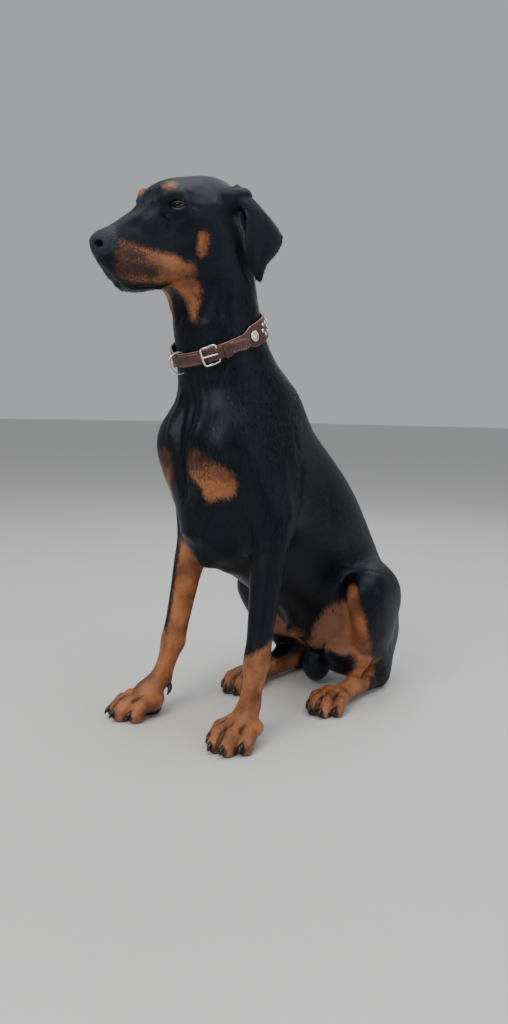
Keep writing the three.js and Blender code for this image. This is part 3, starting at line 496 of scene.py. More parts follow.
class Nodes:
    """Builds one node material, one step at a time."""

    def __init__(self, name: str) -> None:
        """Starts the material with a plain shader.

        Args:
            name: The material's name.
        """
        self.material = bpy.data.materials.new(name)
        self.material.use_nodes = True
        self.tree = self.material.node_tree
        self.shader = self.tree.nodes["Principled BSDF"]

    def add(self, kind: str, **inputs: object) -> bpy.types.Node:
        """Adds a node.

        Args:
            kind: Its kind, in Blender's word for it.
            inputs: Values and sockets by the node's names, spaces written as underscores.

        Returns:
            The node.
        """
        node = self.tree.nodes.new("ShaderNode" + kind)
        for name, value in inputs.items():
            self.feed(node, name.replace("_", " "), value)
        return node

    def feed(self, node: bpy.types.Node, socket: str | int, value: object) -> None:
        """Sets or links one input of a node.

        Args:
            node: The node.
            socket: The input's name or number.
            value: A value to set or a socket to link.
        """
        target = node.inputs[socket]
        if isinstance(value, NodeSocket):
            self.tree.links.new(value, target)
        else:
            target.default_value = value

    def place(self) -> NodeSocket:
        """Returns the object coordinates."""
        return self.add("TexCoord").outputs["Object"]

    def value(self, name: str) -> NodeSocket:
        """Reads a number stored on the mesh.

        Args:
            name: The name that it is stored under.

        Returns:
            The number.
        """
        node = self.add("Attribute")
        node.attribute_name = name
        return node.outputs["Fac"]

    def math(self, operation: str, a: object, b: object = 0.0) -> NodeSocket:
        """Works on two numbers.

        Args:
            operation: What to do with them, in Blender's word for it.
            a: The first number or socket.
            b: The second.

        Returns:
            The result.
        """
        node = self.add("Math")
        node.operation = operation
        self.feed(node, 0, a)
        self.feed(node, 1, b)
        return node.outputs[0]

    def plus(self, a: object, b: object) -> NodeSocket:
        """Returns the sum of two numbers."""
        return self.math("ADD", a, b)

    def times(self, a: object, b: object) -> NodeSocket:
        """Returns the product of two numbers."""
        return self.math("MULTIPLY", a, b)

    def less(self, a: object, b: object) -> NodeSocket:
        """Returns the first number less the second."""
        return self.math("SUBTRACT", a, b)

    def noise(self, scale: float, detail: float = 2.0, rough: float = 0.5) -> NodeSocket:
        """Returns smooth noise around 0.5, with so many waves in a metre."""
        node = self.add("TexNoise", Vector=self.place(), Scale=scale, Detail=detail,
                        Roughness=rough)
        return node.outputs["Fac"]

    def cells(self, scale: float) -> NodeSocket:
        """Returns the distance from the middles of cells, so many in a metre."""
        return self.add("TexVoronoi", Vector=self.place(), Scale=scale).outputs["Distance"]

    def rise(self, value: object, low: float, high: float,
             start: float = 0.0, end: float = 1.0) -> NodeSocket:
        """Turns a number into a smooth step.

        Args:
            value: The number.
            low: Where the step starts.
            high: Where it ends.
            start: The result below low.
            end: The result above high.

        Returns:
            The result.
        """
        node = self.add("MapRange")
        node.interpolation_type = "SMOOTHSTEP"
        for i, v in enumerate((value, low, high, start, end)):
            self.feed(node, i, v)
        return node.outputs[0]

    def mix(self, share: object, a: object, b: object) -> NodeSocket:
        """Mixes two colours.

        Args:
            share: How much of the second there is, from 0 to 1.
            a: The first colour.
            b: The second.

        Returns:
            The mixed colour.
        """
        node = self.add("Mix")
        node.data_type = "RGBA"
        self.feed(node, 0, share)
        self.feed(node, 6, opaque(a))
        self.feed(node, 7, opaque(b))
        return node.outputs[2]

    def bump(self, height: NodeSocket, distance: float, strength: float = 1.0,
             over: NodeSocket | None = None) -> NodeSocket:
        """Lays a height on the surface.

        Args:
            height: The height, from 0 to 1.
            distance: How high 1 is, in metres.
            strength: How much of it shows.
            over: The normal that it lies on, or None for the plain surface.

        Returns:
            The normal.
        """
        node = self.add("Bump", Strength=strength, Distance=distance, Height=height)
        if over is not None:
            self.feed(node, "Normal", over)
        return node.outputs["Normal"]

    def surface(self, **inputs: object) -> Material:
        """Sets the shader's sockets.

        Args:
            inputs: Values and sockets by the shader's names, spaces written as underscores.

        Returns:
            The finished material.
        """
        for name, value in inputs.items():
            self.feed(self.shader, name.replace("_", " "), opaque(value))
        return self.material


@dataclass(frozen=True)
class CoatFinish:
    """Short glossy coat in black and rust, and the bare places in it."""

    black: Point = (0.0026, 0.0027, 0.0034)
    black_worn: Point = (0.0062, 0.0056, 0.0056)
    rust: Point = (0.42, 0.165, 0.06)
    rust_deep: Point = (0.14, 0.048, 0.018)
    bare: Point = (0.285, 0.122, 0.072)
    pad: Point = (0.0085, 0.0088, 0.0115)
    edge: float = 0.0062
    smudge_and_shade: float = 0.82
    sheen: Point = (0.55, 0.66, 0.9)
    gloss: Point = (0.66, 0.78, 1.0)
    roughness: float = 0.38
    pad_roughness: float = 0.34
    shine: float = 0.27
    pad_shine: float = 0.4

    def dress(self, name: str, tufts: bool) -> Material:
        """Makes the coat's material, which reads the markings stored on the mesh.

        Args:
            name: The material's name.
            tufts: True for the tufts, which need no fine bump of their own.

        Returns:
            The material.
        """
        n = Nodes(name)
        hair = n.noise(1500, 3)
        patchy = n.noise(26, 3)
        wander = n.times(n.less(n.noise(230, 4), 0.5), 0.011)
        rusty = n.rise(n.plus(n.value("rust"), wander), -self.edge, self.edge)
        black = n.mix(n.rise(patchy, 0.5, 0.85), self.black, self.black_worn)
        depth = n.plus(n.times(patchy, 0.6), n.times(hair, 0.4))
        rust = n.mix(n.rise(depth, 0.36, 0.62), self.rust_deep, self.rust)
        # The stippled darkening of the rust below is partly real smudges and hair lines, and partly
        # painted shade low on the toes.
        dots = n.times(n.less(n.noise(420, 3), 0.5), 0.9)
        stipple = n.rise(n.plus(n.value("smudge_and_shade"), dots), 0.25, 0.75)
        clean = n.less(1.0, n.times(stipple, self.smudge_and_shade))
        colour = n.mix(n.times(rusty, clean), black, rust)
        sheen = {"Sheen_Weight": 0.035, "Sheen_Roughness": 0.35, "Sheen_Tint": self.sheen}
        if tufts:
            shade = n.plus(0.72, n.times(n.value("shade"), 0.56))
            hsv = n.add("HueSaturation", Saturation=1.0, Value=shade, Color=colour)
            return n.surface(Base_Color=hsv.outputs[0], Roughness=self.roughness,
                             Specular_IOR_Level=self.shine, Specular_Tint=self.gloss, **sheen)
        fine = n.mix(n.rise(hair, 0.3, 0.7), self.bare, tuple(c * 0.62 for c in self.bare))
        colour = n.mix(n.rise(n.value("bare"), 0.3, 0.7), colour, fine)
        leather = n.value("leather")
        colour = n.mix(n.rise(leather, 0.35, 0.65), colour, self.pad)
        grain = n.times(n.times(n.cells(850), 2.4), leather)
        height = n.plus(n.times(hair, n.less(1.0, leather)), grain)
        normal = n.bump(n.noise(95, 4), 0.0012, 0.35)
        normal = n.bump(height, 0.00045, 0.8, normal)
        rough = n.plus(n.rise(leather, 0.2, 0.8, self.roughness, self.pad_roughness),
                       n.times(n.value("bare"), 0.12))
        shine = n.rise(leather, 0.3, 0.7, self.shine, self.pad_shine)
        return n.surface(Base_Color=colour, Roughness=rough, Normal=normal,
                         Specular_IOR_Level=shine, Specular_Tint=self.gloss, **sheen)


@dataclass(frozen=True)
class EyeFinish:
    """Dark brown eye under a clear wet cornea."""

    pupil: Point = (0.002, 0.002, 0.002)
    iris: Point = (0.014, 0.006, 0.0035)
    iris_rim: Point = (0.012, 0.006, 0.004)
    white: Point = (0.07, 0.05, 0.045)

    def dress(self) -> Material:
        """Makes the material, which reads the angle from the line of sight stored on the mesh.

        Returns:
            The material.
        """
        n = Nodes("wet_eye")
        polar = n.value("polar")
        fibres = n.times(n.less(n.noise(2600, 3), 0.5), 0.02)
        colour = n.mix(n.rise(polar, 0.052, 0.06), self.pupil, self.iris)
        colour = n.mix(n.rise(n.plus(polar, fibres), 0.085, 0.15), colour, self.iris_rim)
        colour = n.mix(n.rise(polar, 0.168, 0.19), colour, self.white)
        return n.surface(Base_Color=colour, Roughness=0.2, Specular_IOR_Level=0.15,
                         Coat_Weight=0.4, Coat_Roughness=0.02)


@dataclass(frozen=True)
class HornFinish:
    """Dark glossy horn of the claws, with lengthwise streaks."""

    dark: Point = (0.006, 0.0055, 0.006)
    worn: Point = (0.05, 0.04, 0.035)

    def dress(self) -> Material:
        """Makes the material.

        Returns:
            The material.
        """
        n = Nodes("claw_horn")
        streak = n.noise(420, 4)
        colour = n.mix(n.rise(streak, 0.5, 0.85), self.dark, self.worn)
        return n.surface(Base_Color=colour, Roughness=n.rise(streak, 0.3, 0.8, 0.2, 0.42),
                         Normal=n.bump(n.noise(1100, 3), 0.0003, 0.6))


@dataclass(frozen=True)
class LeatherFinish:
    """Oiled red-brown leather with paler cut edges."""

    face: Point = (0.085, 0.022, 0.016)
    deep: Point = (0.035, 0.0095, 0.008)
    cut: Point = (0.42, 0.215, 0.18)

    def dress(self) -> Material:
        """Makes the material, which reads how near a cut edge is from the mesh.

        Returns:
            The material.
        """
        n = Nodes("collar_leather")
        grain = n.cells(900)
        creases = n.noise(160, 5, rough=0.65)
        face = n.mix(n.rise(creases, 0.35, 0.7), self.deep, self.face)
        scuffs = n.times(n.less(n.noise(500, 3), 0.5), 0.5)
        worn = n.rise(n.plus(n.value("edge"), scuffs), 0.62, 0.92)
        colour = n.mix(worn, face, self.cut)
        height = n.plus(n.times(grain, 0.8), creases)
        return n.surface(Base_Color=colour, Roughness=n.rise(creases, 0.3, 0.8, 0.42, 0.62),
                         Normal=n.bump(height, 0.0005, 0.55), Coat_Weight=0.12, Coat_Roughness=0.3)


@dataclass(frozen=True)
class SteelFinish:
    """Nickel-plated steel, dulled in random patches."""

    bright: Point = (0.78, 0.76, 0.72)
    dull: Point = (0.34, 0.31, 0.28)

    def dress(self) -> Material:
        """Makes the material.

        Returns:
            The material.
        """
        n = Nodes("plated_steel")
        wear = n.noise(420, 4)
        colour = n.mix(n.rise(wear, 0.45, 0.75), self.bright, self.dull)
        rough = n.rise(wear, 0.3, 0.75, 0.16, 0.38)
        return n.surface(Base_Color=colour, Metallic=1.0, Roughness=rough,
                         Normal=n.bump(n.noise(1500, 2), 0.00012, 0.4))


@dataclass(frozen=True)
class PlainFinish:
    """One colour with soft darker or lighter spots.

    Args:
        name: The material's name.
        colour: The colour.
        shares: The two kinds of spots' brightness as shares of it.
        waves: How many spots there are in a metre.
        detail: How many finer octaves they have.
        roughness: How dull the surface is.
        bump: How many bumps there are in a metre and how strong they are, or None.
    """

    name: str
    colour: Point
    shares: tuple[float, float]
    waves: float
    detail: float
    roughness: float
    bump: tuple[float, float] | None = None

    def dress(self) -> Material:
        """Makes the material.

        Returns:
            The material.
        """
        n = Nodes(self.name)
        first, second = (tuple(c * share for c in self.colour) for share in self.shares)
        colour = n.mix(n.noise(self.waves, self.detail), first, second)
        if self.bump is None:
            return n.surface(Base_Color=colour, Roughness=self.roughness)
        normal = n.bump(n.noise(self.bump[0], 2), 0.0002, self.bump[1])
        return n.surface(Base_Color=colour, Roughness=self.roughness, Normal=normal)


LID_RIM = PlainFinish("lid_rim", (0.02, 0.018, 0.019), (1.0, 2.4), 900, 2, 0.28, (1500, 0.5))
WHISKER = PlainFinish("whisker", (0.008, 0.008, 0.009), (1.0, 3.0), 300, 2, 0.35)
THREAD = PlainFinish("waxed_thread", (0.5, 0.36, 0.3), (0.55, 1.0), 1800, 2, 0.6, (1800, 0.6))
PALE_FLOOR = PlainFinish("pale_floor", (0.62, 0.61, 0.59), (0.97, 1.0), 6, 3, 0.75)


# Markings


class Layer(Enum):
    """What a marked place is."""

    RUST = "rust"
    BLACK = "black"
    # Stippled darkening of the rust: real smudges and hair lines, and painted shade where a patch
    # stands in for shade.
    SMUDGE_AND_SHADE = "smudge_and_shade"
    BARE = "bare"
    LEATHER = "leather"


@dataclass(frozen=True)
class Patch:
    """A marked place: a rounded line in the dog's frame, thick at one end or both.

    Args:
        layer: What the place is.
        start: One end of its middle line.
        end: The other end.
        start_radius: Its radius at the start.
        end_radius: Its radius at the end.
        soft: How gradual its border is.
    """

    layer: Layer
    start: Point
    end: Point
    start_radius: float
    end_radius: float
    soft: float = 4.0

    def depth(self, p: Array) -> Array:
        """Returns how far inside the place each point is, in millimetres."""
        t, away = to_line(p, self.start, self.end)
        return self.start_radius + (self.end_radius - self.start_radius) * t - away


@dataclass(frozen=True)
class ForelegLine:
    """A foreleg's middle line from the elbow to the paw, and the rust on its inner side.

    Args:
        elbow: The line's top.
        carpus: Where it bends.
        paw: Its end on the floor.
        inner_top: How high the rust of the inner side goes.
        inner_border: How far inside the middle line it starts.
    """

    elbow: Point
    carpus: Point
    paw: Point
    inner_top: float
    inner_border: float

    def offset(self, p: Array) -> tuple[Array, Array]:
        """Measures points against the leg's middle line at their height.

        Args:
            p: Points of the dog's frame.

        Returns:
            How far each point lies to the dog's left of it, and how far behind it.
        """
        z = np.array([self.paw[2], self.carpus[2], self.elbow[2]])
        x = np.interp(p[:, 2], z, [self.paw[0], self.carpus[0], self.elbow[0]])
        y = np.interp(p[:, 2], z, [self.paw[1], self.carpus[1], self.elbow[1]])
        return p[:, 0] - x, p[:, 1] - y


FORELEG_LINES = {
    "left": ForelegLine((96, 94, 338), (112, 52, 128), (105, 19, 0), 234.0, 16.0),
    "right": ForelegLine((-82, 94, 338), (-78, 38, 122), (-93, -20, 0), 284.0, 3.0),
}
# Each paw's place, its turn outwards in degrees and its size.
PAWS = {
    "fore_left": ((105.0, 19.0, 0.0), -11.0, 1.0),
    "fore_right": ((-93.0, -20.0, 0.0), 14.0, 1.0),
    "hind_left": ((106.0, 236.0, 0.0), -8.0, 0.88),
    "hind_right": ((-70.0, 196.0, 0.0), -14.0, 0.88),
}
# Each toe's place in its paw and its radius.
TOES = ((-27.0, 1.0, 12.5), (-10.0, -19.0, 14.0), (10.0, -19.0, 14.0), (27.0, 1.0, 12.5))


def paw_points(paw: str, local: Sequence) -> Array:
    """Points of a paw in the dog's frame.

    Args:
        paw: The paw's name.
        local: Points in the paw's own frame, with -y forward.

    Returns:
        The points as an array.
    """
    at, turn, scale = PAWS[paw]
    m = np.array(Matrix.Rotation(math.radians(-turn), 3, "Z"))
    return np.asarray(local, float) * scale @ m.T + np.array(at)


@dataclass
class Markings:
    """The black and rust pattern, the bare places and some painted shade, as plain shapes in space.

    Args:
        sock_top: Mean height of the forelegs' rust.
        sock_wave: How far its border rises and falls round the leg.
        sock_turn: Where round the leg it is highest, in radians from the front.
        patches: The places; black and rust ones lie over those before them.
    """

    sock_top: float = 149.0
    sock_wave: float = 13.0
    sock_turn: float = 2.36
    patches: list[Patch] = field(default_factory=list)

    def __post_init__(self) -> None:
        """Lays down every patch, later ones over earlier ones."""
        self.head_marks()
        self.body_marks()
        self.foot_marks()

    def both(self, layer: Layer, start: Point, end: Point, *sizes: float) -> None:
        """Adds a patch of the body, given on the left side, on both sides."""
        for s in SIDES.values():
            self.along(layer, [(s * x, y, z) for x, y, z in (start, end)], *sizes)

    def on_head(self, layer: Layer, start: Point, end: Point, *sizes: float) -> None:
        """Adds a patch in the head's frame, given on the left side, on both sides."""
        for s in SIDES.values():
            self.along(layer, [HEAD.points(p, s) for p in (start, end)], *sizes)

    def along(self, layer: Layer, ends: Sequence, *sizes: float) -> None:
        """Adds one patch between two points, with its two radii and how gradual its border is."""
        self.patches.append(Patch(layer, tuple(ends[0]), tuple(ends[1]), *sizes))

    def head_marks(self) -> None:
        """Brow and cheek spots, muzzle, jaw and throat."""
        self.on_head(Layer.RUST, (24, 3, 33), (29, -6, 29), 8.0, 8.0)
        self.on_head(Layer.RUST, (53, 22, -46), (50, 16, -66), 7.0, 5.5)
        self.on_head(Layer.RUST, (20, -100, -44), (36, -66, -66), 15.0, 18.0)
        self.on_head(Layer.RUST, (26, -104, -66), (34, -62, -84), 15.0, 14.0)
        self.on_head(Layer.RUST, (36, -66, -68), (42, -30, -82), 17.0, 19.0)
        self.on_head(Layer.RUST, (42, -30, -80), (45, -8, -86), 16.0, 10.0)
        self.on_head(Layer.SMUDGE_AND_SHADE, (24, -112, -62), (34, -66, -80), 17.0, 9.0, 22.0)
        self.on_head(Layer.SMUDGE_AND_SHADE, (22, -92, -30), (34, -60, -46), 8.0, 5.0, 16.0)
        self.on_head(Layer.SMUDGE_AND_SHADE, (20, -110, -44), (29, -80, -54), 18.0, 10.0, 30.0)
        self.on_head(Layer.BLACK, (8, -90, -104), (20, -60, -108), 12.0, 6.0)
        self.both(Layer.RUST, (20, -66, 684), (30, -24, 684), 10.0, 17.0)
        self.both(Layer.RUST, (30, -22, 684), (24, -12, 644), 15.0, 5.0)
        self.on_head(Layer.BLACK, (12, -128, -82), (24, -80, -98), 9.0, 10.0)
        self.on_head(Layer.BLACK, (24, -80, -98), (33, -42, -106), 10.0, 9.0)
        far_brow = HEAD.points([(20, -18, 30), (24, -12, 34)], SIDES["right"])
        self.along(Layer.RUST, far_brow, 8.0, 8.0)

    def body_marks(self) -> None:
        """Chest, thighs, groin, the place below the tail, and painted shade on the right hind foot.
        """
        self.both(Layer.RUST, (42, -11, 426), (70, 6, 400), 24.0, 25.0)
        self.both(Layer.RUST, (60, 1, 402), (52, 3, 384), 20.0, 13.0)
        self.both(Layer.SMUDGE_AND_SHADE, (24, -16, 430), (70, -2, 448), 18.0, 16.0, 30.0)
        self.both(Layer.SMUDGE_AND_SHADE, (40, -12, 416), (60, 0, 408), 3.0, 1.0, 34.0)
        self.both(Layer.RUST, (124, 250, 214), (134, 264, 160), 15.0, 15.0)
        self.both(Layer.RUST, (134, 264, 160), (118, 300, 96), 15.0, 20.0)
        self.both(Layer.RUST, (112, 312, 70), (108, 270, 30), 24.0, 34.0)
        self.both(Layer.RUST, (98, 330, 66), (96, 350, 46), 18.0, 15.0)
        # Painted shade: black over the right hind foot's rust near the hock, where that foot lies
        # in shade.
        self.along(Layer.BLACK, [(-70, 330, 66), (-62, 262, 62)], 24.0, 20.0)
        self.both(Layer.RUST, (104, 262, 172), (104, 290, 104), 13.0, 24.0)
        self.along(Layer.BLACK, [(34, 304, 56), (92, 284, 70)], 31.0, 24.0)
        self.both(Layer.BARE, (99, 254, 178), (58, 286, 118), 16.0, 32.0, 24.0)
        self.both(Layer.BARE, (58, 286, 118), (18, 294, 94), 30.0, 17.0, 24.0)
        self.both(Layer.BARE, (66, 280, 112), (92, 284, 102), 22.0, 17.0, 16.0)
        self.both(Layer.RUST, (6, 262, 118), (2, 248, 110), 13.0, 11.0)
        self.both(Layer.LEATHER, (0, 234, 104), (0, 226, 100), 10.0, 9.0, 5.0)
        self.both(Layer.RUST, (10, 470, 70), (16, 462, 52), 20.0, 16.0)
        self.both(Layer.LEATHER, (0, 318, 30), (0, 322, 14), 30.0, 28.0, 10.0)

    def foot_marks(self) -> None:
        """Black lines between the toes, round the claws and under the paws, and painted shade low
        on the toes.
        """
        for paw in PAWS:
            for (x0, y0, _), (x1, y1, _) in zip(TOES, TOES[1:]):
                x, y = (x0 + x1) / 2, max(y0, y1)
                cleft = [(x * 0.86, y + 8, 40), (x, y - 22, 30), (x * 1.05, y - 32, 8)]
                cleft = paw_points(paw, cleft)
                self.along(Layer.SMUDGE_AND_SHADE, cleft[:2], 1.5, 5.0, 7.0)
                self.along(Layer.SMUDGE_AND_SHADE, cleft[1:], 5.0, 5.0, 7.0)
            for x, y, r in TOES:
                claw = paw_points(paw, [(x * 1.12, y - 24, 19), (x * 1.12, y - 38, 6)])
                self.along(Layer.SMUDGE_AND_SHADE, claw, 5.0, 9.0, 5.0)
                pad = paw_points(paw, [(x * 1.1, y - 10, -4), (x * 1.1, y - 30, -3)])
                self.along(Layer.LEATHER, pad, r * 0.8, r * 0.62, 3.0)
            # Painted shade: darkens the lower fronts of the toes towards the floor.
            self.along(Layer.SMUDGE_AND_SHADE, paw_points(paw, [(-22, -28, 2), (22, -28, 2)]), 2.0, 2.0, 28.0)
            self.along(Layer.LEATHER, paw_points(paw, [(-9, 21, 1), (9, 21, 1)]), 17.0, 17.0, 3.0)
        self.along(Layer.SMUDGE_AND_SHADE, [(116, 16, 62), (115, 10, 54)], 7.0, 7.0, 9.0)
        for name, s in SIDES.items():
            x, y, _ = PAWS["fore_" + name][0]
            dewclaw = [(x - s * 24, y + 44, 42), (x - s * 25, y + 38, 30)]
            self.along(Layer.SMUDGE_AND_SHADE, dewclaw, 8.0, 8.0, 5.0)
            x, y, z = FORELEG_LINES[name].carpus
            self.along(Layer.LEATHER, [(x, y + 32, z - 14), (x, y + 34, z - 20)], 8.0, 8.0, 4.0)

    def foreleg_depth(self, p: Array) -> Array:
        """Measures the rust of the forelegs: a wavy sock and the leg's inner side.

        Args:
            p: Points of the dog's frame.

        Returns:
            How far inside the rust each point is.
        """
        best = np.full(len(p), -1e3)
        for name, s in SIDES.items():
            leg = FORELEG_LINES[name]
            sideways, ahead = leg.offset(p)
            lateral, front = sideways * s, -ahead
            round_leg = np.arctan2(lateral, front)
            sock = self.sock_top + self.sock_wave * np.cos(round_leg - self.sock_turn)
            low = sock - p[:, 2]
            inner = np.minimum(-lateral - leg.inner_border, leg.inner_top + 0.25 * front - p[:, 2])
            near = 62 - np.hypot(sideways, ahead)
            leg_depth = np.minimum(np.maximum(low, inner), np.minimum(near, 300 - p[:, 2]))
            best = np.maximum(best, leg_depth)
        return best

    def hindfoot_depth(self, p: Array) -> Array:
        """Measures the rust of the hind feet.

        Args:
            p: Points of the dog's frame.

        Returns:
            How far inside the rust each point is.
        """
        best = np.full(len(p), -1e3)
        for s in SIDES.values():
            behind = 332 - p[:, 1] + 0.25 * p[:, 2]
            low = 74 - p[:, 2]
            side = np.minimum(s * p[:, 0] - 30, 160 - s * p[:, 0])
            foot = np.minimum(np.minimum(behind, low), np.minimum(side, p[:, 1] - 130))
            best = np.maximum(best, foot)
        return best

    def read(self, points: Array) -> dict[str, Array]:
        """Reads the pattern at points in the row's frame.

        Args:
            points: Points in metres.

        Returns:
            For each name that materials read, one number for each point. Rust is in metres,
            positive inside.
        """
        p = Place.dog(points)
        rust = np.maximum(self.foreleg_depth(p), self.hindfoot_depth(p))
        out = {layer.value: np.zeros(len(p)) for layer in (Layer.SMUDGE_AND_SHADE, Layer.BARE, Layer.LEATHER)}
        for patch in self.patches:
            depth = patch.depth(p)
            if patch.layer is Layer.RUST:
                rust = np.maximum(rust, depth)
            elif patch.layer is Layer.BLACK:
                rust = np.minimum(rust, -depth)
            else:
                name = patch.layer.value
                out[name] = np.maximum(out[name], smoothstep(depth, -patch.soft, patch.soft))
        nose = np.minimum((p - HEAD.points((0, -102, -24))) @ HEAD.direction((0, -0.96, 0.28)),
                          (p - HEAD.points((0, -130, -45))) @ HEAD.direction((0, -0.2, 1)))
        out["leather"] = np.maximum(out["leather"], smoothstep(nose, -1.5, 1.5))
        out["rust"] = np.clip(rust, -60, 60) / 1000
        return out


# The skin

# The share of a stroke's length over which it fades out at each end.
STROKE_END = 0.22
# How far a point goes towards its neighbours' mean in one round of smoothing, and back again.
STEP_IN, STEP_OUT = 0.62, -0.64
FLESH = (
    "head", "nose", "neck", "torso", "tail", "scrotum",
    *(f"{part}_{side}"
      for part in ("ear", "forepaw", "foreleg", "hindfoot", "shank", "thigh")
      for side in SIDES),
)


@dataclass(frozen=True)
class Stroke:
    """A groove or ridge drawn along the skin.

    Args:
        path: Points that it follows, in the dog's frame.
        radius: Half its width.
        depth: How far the skin goes in; a negative depth raises it.
    """

    path: tuple[Point, ...]
    radius: float
    depth: float

    def press(self, p: Array, n: Array) -> None:
        """Moves the points near the stroke along their normals, in place.

        Args:
            p: Points of the dog's frame.
            n: Their normals.
        """
        line = catmull(self.path, np.linspace(0, 1, 6 * len(self.path)))
        low, high = line.min(0) - self.radius, line.max(0) + self.radius
        near = np.flatnonzero(((p > low) & (p < high)).all(1))
        if not len(near):
            return
        q = p[near]
        best = np.full(len(q), 1e9)
        where = np.zeros(len(q))
        for i, (a, b) in enumerate(zip(line, line[1:])):
            t, away = to_line(q, a, b)
            closer = away < best
            best = np.where(closer, away, best)
            where = np.where(closer, (i + t) / (len(line) - 1), where)
        fade = smoothstep(where, 0, STROKE_END) * smoothstep(1 - where, 0, STROKE_END)
        fall = np.clip(1 - best / self.radius, 0, 1)
        push = self.depth * fade * fall * fall * (3 - 2 * fall)
        p[near] -= n[near] * push[:, None]


@dataclass(frozen=True)
class Skin:
    """The one skin over all the flesh nodes, with folds and muscles that the solids leave out.

    Args:
        markings: The coat's pattern.
        cell: Size of the skin's cells, in metres.
        coarse: Size of the cells that the large muscles are smoothed with, in metres.
        faces: Triangles of the finished skin.
        fuller: How much fuller each solid is made, in metres.
        swell: What the coarse skin gets back of what its smoothing takes, in metres.
        guide_rounds: Rounds of smoothing of the coarse skin, and below it of the fine one.
        nose_reach: How far the nose is drawn forward.
        sole: The skin's lowest height.
        flesh: The nodes that it stands for.
    """

    markings: Markings
    cell: float = 0.0016
    coarse: float = 0.006
    faces: int = 186000
    fuller: float = 0.00045
    swell: float = 0.0013
    guide_rounds: int = 46
    even_rounds: int = 14
    blend_rounds: int = 44
    fold_rounds: int = 6
    last_rounds: int = 4
    nose_reach: float = 5.5
    sole: float = 0.4
    flesh: tuple[str, ...] = FLESH

    def merged(self) -> Object:
        """Joins copies of the flesh nodes, each a little fuller so that they meet, and the fillers.

        Returns:
            All of them as one object.
        """
        copies = []
        for node in self.flesh:
            obj = lone_copy(node)
            bm = bmesh.new()
            bm.from_mesh(obj.data)
            bm.normal_update()
            for v in bm.verts:
                v.co += v.normal * self.fuller
            bm.to_mesh(obj.data)
            bm.free()
            copies.append(obj)
        copies += [rod(path, radii, 16, 16) for path, radii in self.fillers()]
        return join(copies)

    def fillers(self) -> list[tuple[Array, tuple[float, ...]]]:
        """Lays soft rods in the hollows between the solids that a living dog doesn't have.

        Returns:
            Each rod's middle line and its radii along it.
        """
        made: list[tuple[Array, tuple[float, ...]]] = []

        def head(radii: tuple[float, ...], *path: Point) -> None:
            """Adds a rod in the head's frame."""
            made.append((HEAD.points(path, s), radii))

        def body(radii: tuple[float, ...], *path: Point) -> None:
            """Adds a rod in the dog's frame."""
            made.append((np.array(path), radii))

        for name, s in SIDES.items():
            x, y, _ = PAWS["fore_" + name][0]
            head((8, 8, 6, 3), (54, 100, -2), (61, 106, -24), (64, 108, -46), (64, 104, -62))
            head((3, 11, 3), (8, -110, -90), (18, -95, -98), (26, -76, -97))
            head((2, 10, 3), (27, -74, -98), (31, -56, -107), (33, -36, -102))
            body((9, 7), (x - s * 10, y + 46, 54), (x - s * 21, y + 45, 47))
            head((7, 9, 11, 10, 9, 8), (6, -106, -17), (7, -84, -13), (8, -62, -8), (9, -44, -1),
                 (10, -30, 9), (10, -14, 22))
            head((4, 12, 11, 2), (14, -76, -27), (17, -52, -19), (19, -34, -9), (25, -14, 4))
            head((3, 10, 10, 2), (21, -62, -38), (24, -42, -27), (26, -27, -19), (32, -8, -16))
            head((2, 8, 7, 1), (10, -12, 29), (20, -13, 25), (30, -8, 24), (42, 6, 20))
            body((4, 20, 26, 28, 8), (s * 11, 70, 850), (s * 12, 90, 817), (s * 12, 102, 780),
                 (s * 13, 105, 738), (s * 13, 104, 685))
            body((22, 22), (s * 66, 208, 268), (s * 67, 244, 266))
        body((18, 17, 12), (-80, 352, 48), (-73, 304, 50), (-68, 262, 42))
        body((13, 16, 17), (36, 306, 54), (76, 298, 58), (114, 322, 54))
        body((15, 18, 17), (40, 290, 78), (76, 284, 84), (114, 304, 82))
        body((14, 17, 15), (70, 296, 70), (100, 306, 70), (124, 326, 68))
        body((10, 17, 14), (46, 304, 92), (78, 298, 102), (110, 300, 106))
        return made

    @staticmethod
    def remeshed(source: Object, cell: float) -> Object:
        """Makes one closed skin of even cells.

        Args:
            source: The object to cover.
            cell: The cells' size in metres.

        Returns:
            The skin as an object of its own.
        """
        obj = add_object("skin", source.data.copy())
        apply_modifier(obj, "REMESH", mode="VOXEL", voxel_size=cell)
        return obj

    @staticmethod
    def relax(mesh: Mesh, co: Array, weight: Array, rounds: int, shrink: bool = False) -> Array:
        """Smooths points, by default without shrinking the whole.

        Args:
            mesh: The mesh that joins the points.
            co: The points.
            weight: How far each point may go, from 0 to 1.
            rounds: How often the points move.
            shrink: True for a stronger smoothing that draws the whole in a little.

        Returns:
            The smoothed points.
        """
        edges = np.empty(len(mesh.edges) * 2, np.int32)
        mesh.edges.foreach_get("vertices", edges)
        a, b = edges.reshape(-1, 2).T
        ends = np.concatenate([a, b])
        starts = np.concatenate([b, a])
        order = np.argsort(ends, kind="stable")
        starts = starts[order]
        count = np.bincount(ends, minlength=len(co))
        first = np.concatenate([[0], np.cumsum(count)[:-1]])
        share = 1 / np.maximum(count, 1)[:, None]
        for i in range(rounds):
            mean = np.add.reduceat(co[starts], first, axis=0) * share
            step = STEP_IN if shrink or i % 2 == 0 else STEP_OUT
            co = co + (mean - co) * (weight * step)[:, None]
        return co

    @staticmethod
    def calm(p: Array) -> Array:
        """Finds where the broad smoothing goes: not on the head, the feet and the scrotum.

        Args:
            p: Points of the dog's frame.

        Returns:
            How much each point takes of it, from 0 to 1.
        """
        head = smoothstep(head_height(p), 735, 655)
        feet = smoothstep(p[:, 2], 40, 95)
        sac = smoothstep(np.linalg.norm(p - np.array([0, 320, 40]), axis=1), 38, 62)
        return head * feet * sac

